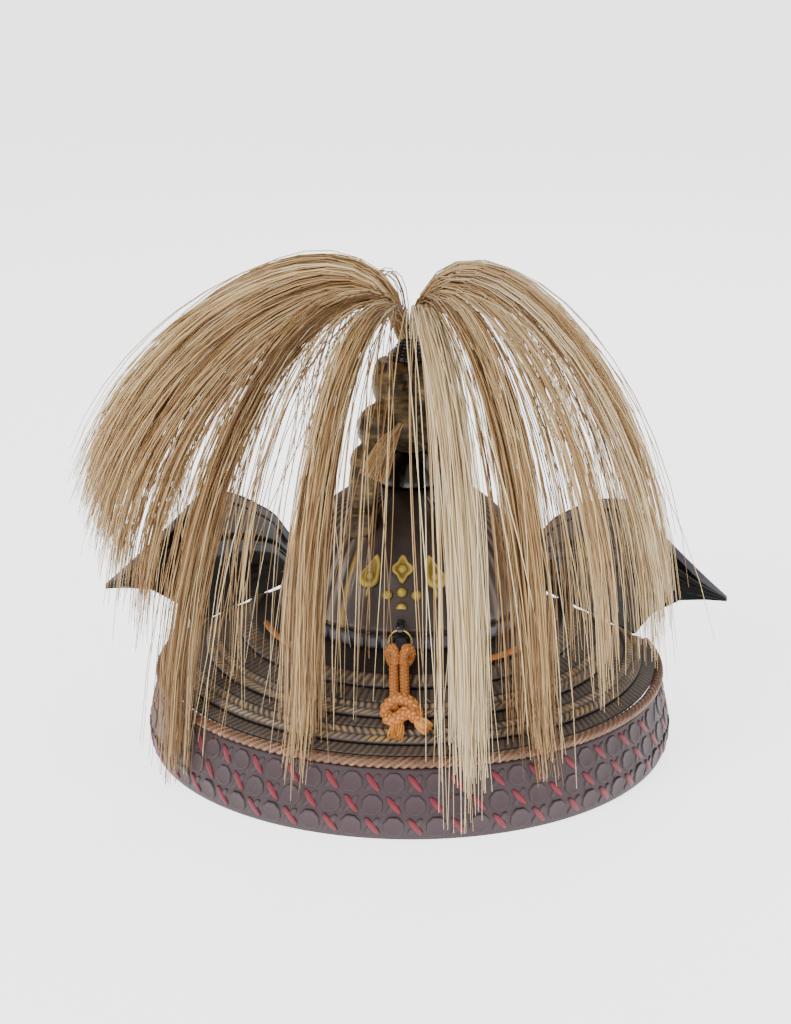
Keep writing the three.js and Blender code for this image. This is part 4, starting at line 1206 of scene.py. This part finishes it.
def leaf_outline(side):
    spots = [(-0.5, -0.3), (-0.3, -0.46), (0, -0.52), (0.3, -0.46), (0.5, -0.3), (0.5, 0.0), (0.46, 0.25)]
    spots += [(0.24, 0.5), (0.02, 0.28), (-0.24, 0.02), (-0.42, -0.14)]
    line = smooth_line([*spots, spots[0]], 45)[:-1]
    return (np.array(line) * (17, 28))[::side] * (side, 1)


PLATE = [(1.0, 0.2), (0.96, 1.3), (0.88, 1.9), (0.76, 2.0), (0.62, 1.4), (0.3, 1.3)]
STUD = [(1.0, 0.0), (0.97, 1.1), (0.82, 2.0), (0.55, 2.6), (0.2, 2.9)]


def ornament():
    """Flower, leaves, studs and half moon, each a piece of its own with its turn and tilt on the bowl."""
    stud = lobed_outline(4.2, 1, 0)
    knob = lobed_outline(3.4, 1, 0)
    flower = lobed_outline(10, 4, 0.15, (0.85, 1.2))
    moon = np.array([(x, max(y, -1.2)) for x, y in lobed_outline(4.4, 1, 0)])
    one_stud = [(stud, STUD, (0, 0))]
    pieces = [("gilt_flower", "rear_flower", 0, 54, [(flower, PLATE, (0, 0)), *one_stud])]
    for side, name in SIDES:
        leaf = [
            (leaf_outline(-side), PLATE, (0, 0)),
            (knob, STUD, (-side * 1.4, -4.5)),
            (lobed_outline(5, 1, 0, (0.22, 1)), STUD, (-side * 2, -17)),
        ]
        pieces.append((f"gilt_leaf_{name}", f"rear_leaf_{name}", side * 17, 55.5, leaf))
        pieces.append((f"gilt_stud_{name}", f"rear_stud_{name}", side * 6.7, 64.8, one_stud))
    pieces.append(("gilt_stud_middle", "rear_stud_middle", 0, 63.6, one_stud))
    pieces.append(("gilt_half_moon", "rear_stud_low", 0, 70, [(moon, STUD, (0, 0))]))
    for name, node, turn, tilt, parts in pieces:
        dress(set_on_bowl(name, turn, tilt, parts), "gilt", "relief", node)


ornament()


# Staple and ring
def staple():
    """A strap bent round the eye, narrowing to a point below."""
    path = [(9, 3.2, 3.0), (4, 3.6, 3.0), (0, 3.6, 3.0), (-2.8, 2.2, 2.8), (-3.6, 0, 2.3)]
    path += [(-2.8, -2.2, 1.6), (0, -3.6, 1.3), (4, -3.6, 1.2), (9, -3.2, 1.2)]
    line = smooth_line(path, 40)
    middle = np.stack([0 * line[:, 0], EYE[1] + line[:, 0], EYE[2] + line[:, 1]], -1)
    ahead = np.gradient(middle, axis=0)
    ahead /= np.linalg.norm(ahead, axis=1)[:, None]
    outward = np.cross(ahead, (1, 0, 0))
    turns = np.linspace(0, 2 * np.pi, 16, endpoint=False)
    x = np.sign(np.cos(turns)) * np.abs(np.cos(turns)) ** 0.4
    out = np.sign(np.sin(turns)) * np.abs(np.sin(turns)) ** 0.6
    rings = middle[:, None, :] + np.array((1.0, 0, 0)) * (line[:, 2:3] * x[None, :])[..., None]
    rings = rings + outward[:, None, :] * (0.9 * out)[None, :, None]
    return body_object("staple_strap", rings)


def ring():
    turns = np.linspace(0, 2 * np.pi, 60, endpoint=False)
    across = np.array((1.0, 0, 0))
    out = np.cross(across, ring_fall)
    spoke = np.cos(turns)[:, None] * ring_fall + np.sin(turns)[:, None] * across
    theta = np.linspace(0, 2 * np.pi, 12, endpoint=False)
    wire = RING_WIRE * np.cos(theta)
    rings = ring_centre + spoke[:, None, :] * (RING_RADIUS + wire)[None, :, None]
    rings = rings + out * (RING_WIRE * np.sin(theta))[None, :, None]
    return body_object("brass_ring", rings, goes_round=True)


dress(staple(), "black", "black", "ring_staple")
dress(ring(), "brass", "brass", "ring")


# Cord stitches through the top lame
STITCH = 4.6
STITCH_ENDS = {"turn": (31.5, 69), "share": (0.173, 0.147)}


def stitch_line(side):
    above = STITCH / 2 + SEAT_GAP - LACED_FACE
    below = -(LAME_STEP + LAME_WALL + STITCH / 2 + SEAT_GAP)
    spots = [(0.5, below), (0.25, below), (0.03, below), (-0.02, (above + below) / 2), (0.03, above)]
    spots += [(t, above) for t in (0.2, 0.4, 0.6, 0.8, 0.97)]
    spots += [(1.02, (above + below) / 2), (0.97, below), (0.75, below), (0.5, below)]
    share = [mix(*STITCH_ENDS["share"], t) for t, _ in spots]
    turn = [side * mix(*STITCH_ENDS["turn"], t) for t, _ in spots]
    return smooth_line(on_guard(np.array(turn), np.array(share), np.array([lift for _, lift in spots])), 260)


for side, name in SIDES:
    made = plait_object(f"cord_stitch_{name}", [stitch_line(side)], STITCH / 2, sides=28)
    dress(made, "cord", "cord", f"tie_loop_{name}")


# Plume. A lock falls at its turn from the back; reach and tip are in millimetres, rise and shoulder are its
# arch's handles as shares of the root's height, bend is how far out the second handle stands, spread is half
# its width, deep how far its hairs part up and down, hairs their number, and tone runs from brown to cream.
LOCK_COLUMNS = ("turn", "reach", "rise", "shoulder", "bend", "tip", "spread", "deep", "hairs", "tone")
LOCKS = {
    "left": [
        (-93, 249, 1.36, 1.1, 0.8, 196, 16, 8, 310, 0.6),
        (-90, 238, 1.33, 1.02, 0.86, 170, 17, 12, 240, 0.5),
        (-80, 222, 1.3, 0.97, 0.92, 150, 15, 12, 110, 0.42),
        (-69, 212, 1.26, 1.0, 0.94, 132, 12, 9, 80, 0.5),
        (-54, 206, 1.24, 1.12, 0.9, 36, 10, 7, 190, 0.48),
        (-20, 182, 1.18, 1.14, 1.0, 62, 9, 6, 165, 0.46),
        (-112, 206, 1.27, 1.06, 0.9, 168, 20, 9, 50, 0.45),
        (-146, 158, 1.25, 1.1, 0.9, 205, 18, 8, 25, 0.45),
    ],
    "right": [
        (14.5, 186, 1.21, 1.06, 0.97, 62, 9, 6, 150, 0.78),
        (12, 198, 1.2, 1.04, 0.95, 20, 6, 5, 26, 0.74),
        (31, 186, 1.24, 1.1, 0.95, 58, 10, 7, 150, 0.46),
        (52, 190, 1.29, 1.08, 0.93, 96, 14, 8, 56, 0.6),
        (68, 196, 1.34, 1.08, 0.92, 100, 12, 7, 52, 0.62),
        (84, 196, 1.39, 1.08, 0.9, 110, 13, 6, 105, 0.58),
        (105, 190, 1.27, 1.06, 0.9, 150, 16, 8, 45, 0.45),
        (138, 158, 1.25, 1.1, 0.9, 205, 18, 8, 25, 0.45),
    ],
}

# Points along a hair, its radius, hairs to a bundle, stray hairs a side, how far out hair may reach, how far
# it keeps off the guard, how low it hangs, and the share of the guard's run where it starts to hang outside
HAIR_STEPS = 15
HAIR_RADIUS = 0.45
BUNDLE_HAIRS = 9
LOOSE_HAIRS = 140
HAIR_LIMIT = 279
HAIR_CLEARANCE = 4.5
HAIR_LOWEST = 6
GUARD_LIP = 0.96


def arch(root, turn, row, t):
    """Hairs' middles: cubic curves from the root, up over the crown and down to the tips."""
    heading = np.stack([np.sin(np.radians(turn)), -np.cos(np.radians(turn))], -1)

    def handle(ahead, z):
        level = root[:, :2] + heading * (ahead * row["reach"])[:, None]
        return np.c_[level, z][:, None, :]

    p0 = root[:, None, :]
    p1 = handle(0.08, row["rise"] * PLUME_ROOT)
    p2 = handle(row["bend"], row["shoulder"] * PLUME_ROOT)
    p3 = handle(1.0, row["tip"])
    t = t[None, :, None]
    return p0 * (1 - t) ** 3 + 3 * p1 * t * (1 - t) ** 2 + 3 * p2 * t * t * (1 - t) + p3 * t**3


def hairs(rng, side, row, bunch, stray):
    """Lines of hairs from a table with a number for each hair; bunch is how much of a lock's width is left at
    its tips, and stray how far hairs wander, in millimetres."""
    count = len(row["turn"])
    t = np.linspace(0, 1, HAIR_STEPS) ** 0.92
    root = np.stack([side * rng.uniform(0.6, 9, count), NECK_Y + rng.uniform(-7, 7, count)], -1)
    root = np.c_[root, PLUME_ROOT + rng.uniform(-2, 6, count)]
    line = arch(root, row["turn"], row, t)
    swell = np.minimum(1, t / 0.4) * mix(1, bunch, np.clip((t - 0.5) / 0.5, 0, 1) ** 0.8)
    angle = np.radians(row["turn"])
    across = np.stack([np.cos(angle), np.sin(angle), 0 * angle], -1)
    line = line + across[:, None, :] * (row["aside"][:, None] * swell[None, :])[..., None]
    wave = rng.uniform(0, 2 * np.pi, (3, count, 1))
    pace = rng.uniform(2.0, 6.5, (3, count, 1))
    wander = np.stack([np.sin(pace[k] * t[None, :] + wave[k]) - np.sin(wave[k]) for k in range(3)], -1)
    reach = stray * rng.gamma(1.6, 0.6, (count, 1, 1))
    return line + wander * reach * (t[None, :, None] ** 1.2) * (1, 1, 0.35)


def bundled(rng, row, count):
    """A table of hairs that keep together in bundles within their lock."""
    bundle = rng.integers(0, max(3, count // BUNDLE_HAIRS), count)
    most = bundle.max() + 1

    def varied(wide, fine):
        return rng.uniform(-1, 1, most)[bundle] * wide + rng.normal(0, 1, count).clip(-2.2, 2.2) * fine

    up = varied(row["deep"], 1.8) / PLUME_ROOT
    return {
        "turn": row["turn"] + varied(1.0, 1.8),
        "reach": row["reach"] * (1 + varied(0.03, 0.01)),
        "rise": row["rise"] + up,
        "shoulder": row["shoulder"] + 1.2 * up,
        "bend": np.full(count, row["bend"]),
        "tip": row["tip"] + varied(20, 10),
        "aside": varied(row["spread"], 1.3),
        "tone": row["tone"] + varied(0.26, 0.11),
    }


def loose(rng, side, rows, count):
    """A table of hairs that fall singly between the locks."""
    order = np.argsort([row["turn"] for row in rows])
    at = [rows[k]["turn"] for k in order]
    turns = rng.uniform(*sorted((side * 3, side * 112)), count)
    table = {key: np.interp(turns, at, [rows[k][key] for k in order]) for key in rows[0]}
    table["turn"] = turns
    table["aside"] = rng.uniform(-8, 8, count)
    table["reach"] *= rng.uniform(0.7, 1.0, count)
    table["tip"] += rng.uniform(-10, 70, count)
    table["tone"] = rng.uniform(0.2, 0.95, count)
    return table


def laid_on_guard(lines):
    """Hair that would pass through the neck guard or the rim lies on it instead, or hangs outside it."""
    heading = lines[..., :2] / np.maximum(np.hypot(lines[..., 0], lines[..., 1]), 1)[..., None]
    radius = np.hypot(lines[..., 0], lines[..., 1])
    foot = 1 / np.hypot(heading[..., 0] / WAIST_HALF_WIDTH, heading[..., 1] / WAIST_HALF_LENGTH)
    share = (radius - foot) / (GUARD_RADIUS - foot)
    behind = np.degrees(np.abs(np.arctan2(heading[..., 0], -heading[..., 1]))) < GUARD_END + 2
    surface = mix(WAIST_BOTTOM, GUARD_BOTTOM, share) + HAIR_CLEARANCE
    over = behind & (share > -0.1) & (share < GUARD_LIP)
    lines[..., 2] = np.where(over, np.maximum(lines[..., 2], surface), lines[..., 2])
    outside = RIM_TOP_RADIUS + RIM_FLARE + HAIR_CLEARANCE / 2
    beside = behind & (share >= GUARD_LIP) & (lines[..., 2] < GUARD_BOTTOM + HAIR_CLEARANCE)
    moved = heading * np.maximum(radius, outside)[..., None]
    lines[..., :2] = np.where(beside[..., None], moved, lines[..., :2])
    return lines


def plume(side, name):
    rng = np.random.default_rng(11 + side)
    rows = [dict(zip(LOCK_COLUMNS, row)) for row in LOCKS[name]]
    lines, tones = [], []
    for row in rows:
        table = bundled(rng, row, row["hairs"])
        lines.append(hairs(rng, side, table, 0.6, 4.2))
        tones.append(table["tone"])
    table = loose(rng, side, rows, LOOSE_HAIRS)
    lines.append(hairs(rng, side, table, 1.3, 9))
    tones.append(table["tone"])
    lines, tones = np.concatenate(lines), np.concatenate(tones)
    lines[..., 0] = np.clip(lines[..., 0], -HAIR_LIMIT, HAIR_LIMIT)
    lines = laid_on_guard(lines)
    lines[..., 2] = np.maximum(lines[..., 2], HAIR_LOWEST)
    thick = HAIR_RADIUS * np.interp(np.linspace(0, 1, HAIR_STEPS), [0, 0.8, 1], [1, 1, 0.45])
    half = len(lines) // 2
    mixed = rng.permutation(len(lines))
    for part, chosen in enumerate((mixed[:half], mixed[half:]), 1):
        made = fibres(f"plume_hair_{name}_{part}", lines[chosen], thick, tones[chosen], "hair")
        dress(made, "hair", "hair", f"plume_{name}")


for side, name in SIDES:
    plume(side, name)


# Tail tuft
def tail_tuft():
    rng = np.random.default_rng(5)
    count = 300
    root = np.array((-0.15, -0.62, 0.62)) * CREST + (0, 0, CREST_FOOT)
    fall = np.array((-0.4, -0.6, -0.7))
    fall /= np.linalg.norm(fall)
    across = np.array((1.0, 0, 0)) - fall * fall[0]
    across /= np.linalg.norm(across)
    square = np.cross(fall, across)
    t = np.linspace(-0.12, 1, 9)[None, :, None]
    aside = rng.uniform(-1, 1, (count, 1, 1))
    depth = rng.uniform(-1, 1, (count, 1, 1))
    length = 46 * rng.uniform(0.82, 1.0, (count, 1, 1))
    widen = np.clip(t, 0, 1) ** 0.8
    line = root + fall * t * length + across * aside * (2 + 9 * widen) + square * depth * (1.8 - 0.6 * widen)
    line = line + np.array((0, 0, 5.0)) * np.sin(np.pi * np.clip(t, 0, 1))
    made = fibres("tail_hair", line, 0.36, rng.uniform(0.25, 0.8, count), "hair")
    dress(made, "hair", "hair", "tail_tuft")


tail_tuft()


# Floor and soft studio light
FLOOR_REACH = 14.0
FLOOR_GLOW = 2.2
SKY_STRENGTH = 0.7
# Each light's name, place and size in metres, and power in watts
LIGHTS = (
    ("key", (-1.3, -1.7, 2.0), 1.2, 56),
    ("fill", (1.8, -1.5, 1.2), 1.8, 18),
    ("rim", (0.4, 2.0, 1.8), 1.4, 20),
)


def add_stage():
    mesh = bpy.data.meshes.new("floor")
    corners = [(x * FLOOR_REACH, y * FLOOR_REACH, 0) for x, y in ((-1, -1), (1, -1), (1, 1), (-1, 1))]
    mesh.from_pydata(corners, [], [(0, 1, 2, 3)])
    floor = make_object("floor", mesh)
    paint = Finish("floor_paint", Roughness=0.6)
    paint.shader.inputs["Base Color"].default_value = srgb(250, 250, 250)
    paint.shader.inputs["Emission Color"].default_value = (1, 1, 1, 1)
    paint.shader.inputs["Emission Strength"].default_value = FLOOR_GLOW
    floor.data.materials.append(paint.material)
    world = bpy.data.worlds.new("studio")
    world.use_nodes = True
    world.node_tree.nodes["Background"].inputs["Color"].default_value = (1, 1, 1, 1)
    world.node_tree.nodes["Background"].inputs["Strength"].default_value = SKY_STRENGTH
    bpy.context.scene.world = world


def add_light(name, place, size, energy):
    data = bpy.data.lights.new(name, "AREA")
    data.shape = "SQUARE"
    data.size = size
    data.energy = energy
    light = bpy.data.objects.new(name, data)
    light.location = place
    aim = Vector((0, AXIS_Y, 0.2)) - light.location
    light.rotation_euler = aim.to_track_quat("-Z", "Y").to_euler()
    bpy.context.scene.collection.objects.link(light)


add_stage()
for light in LIGHTS:
    add_light(*light)
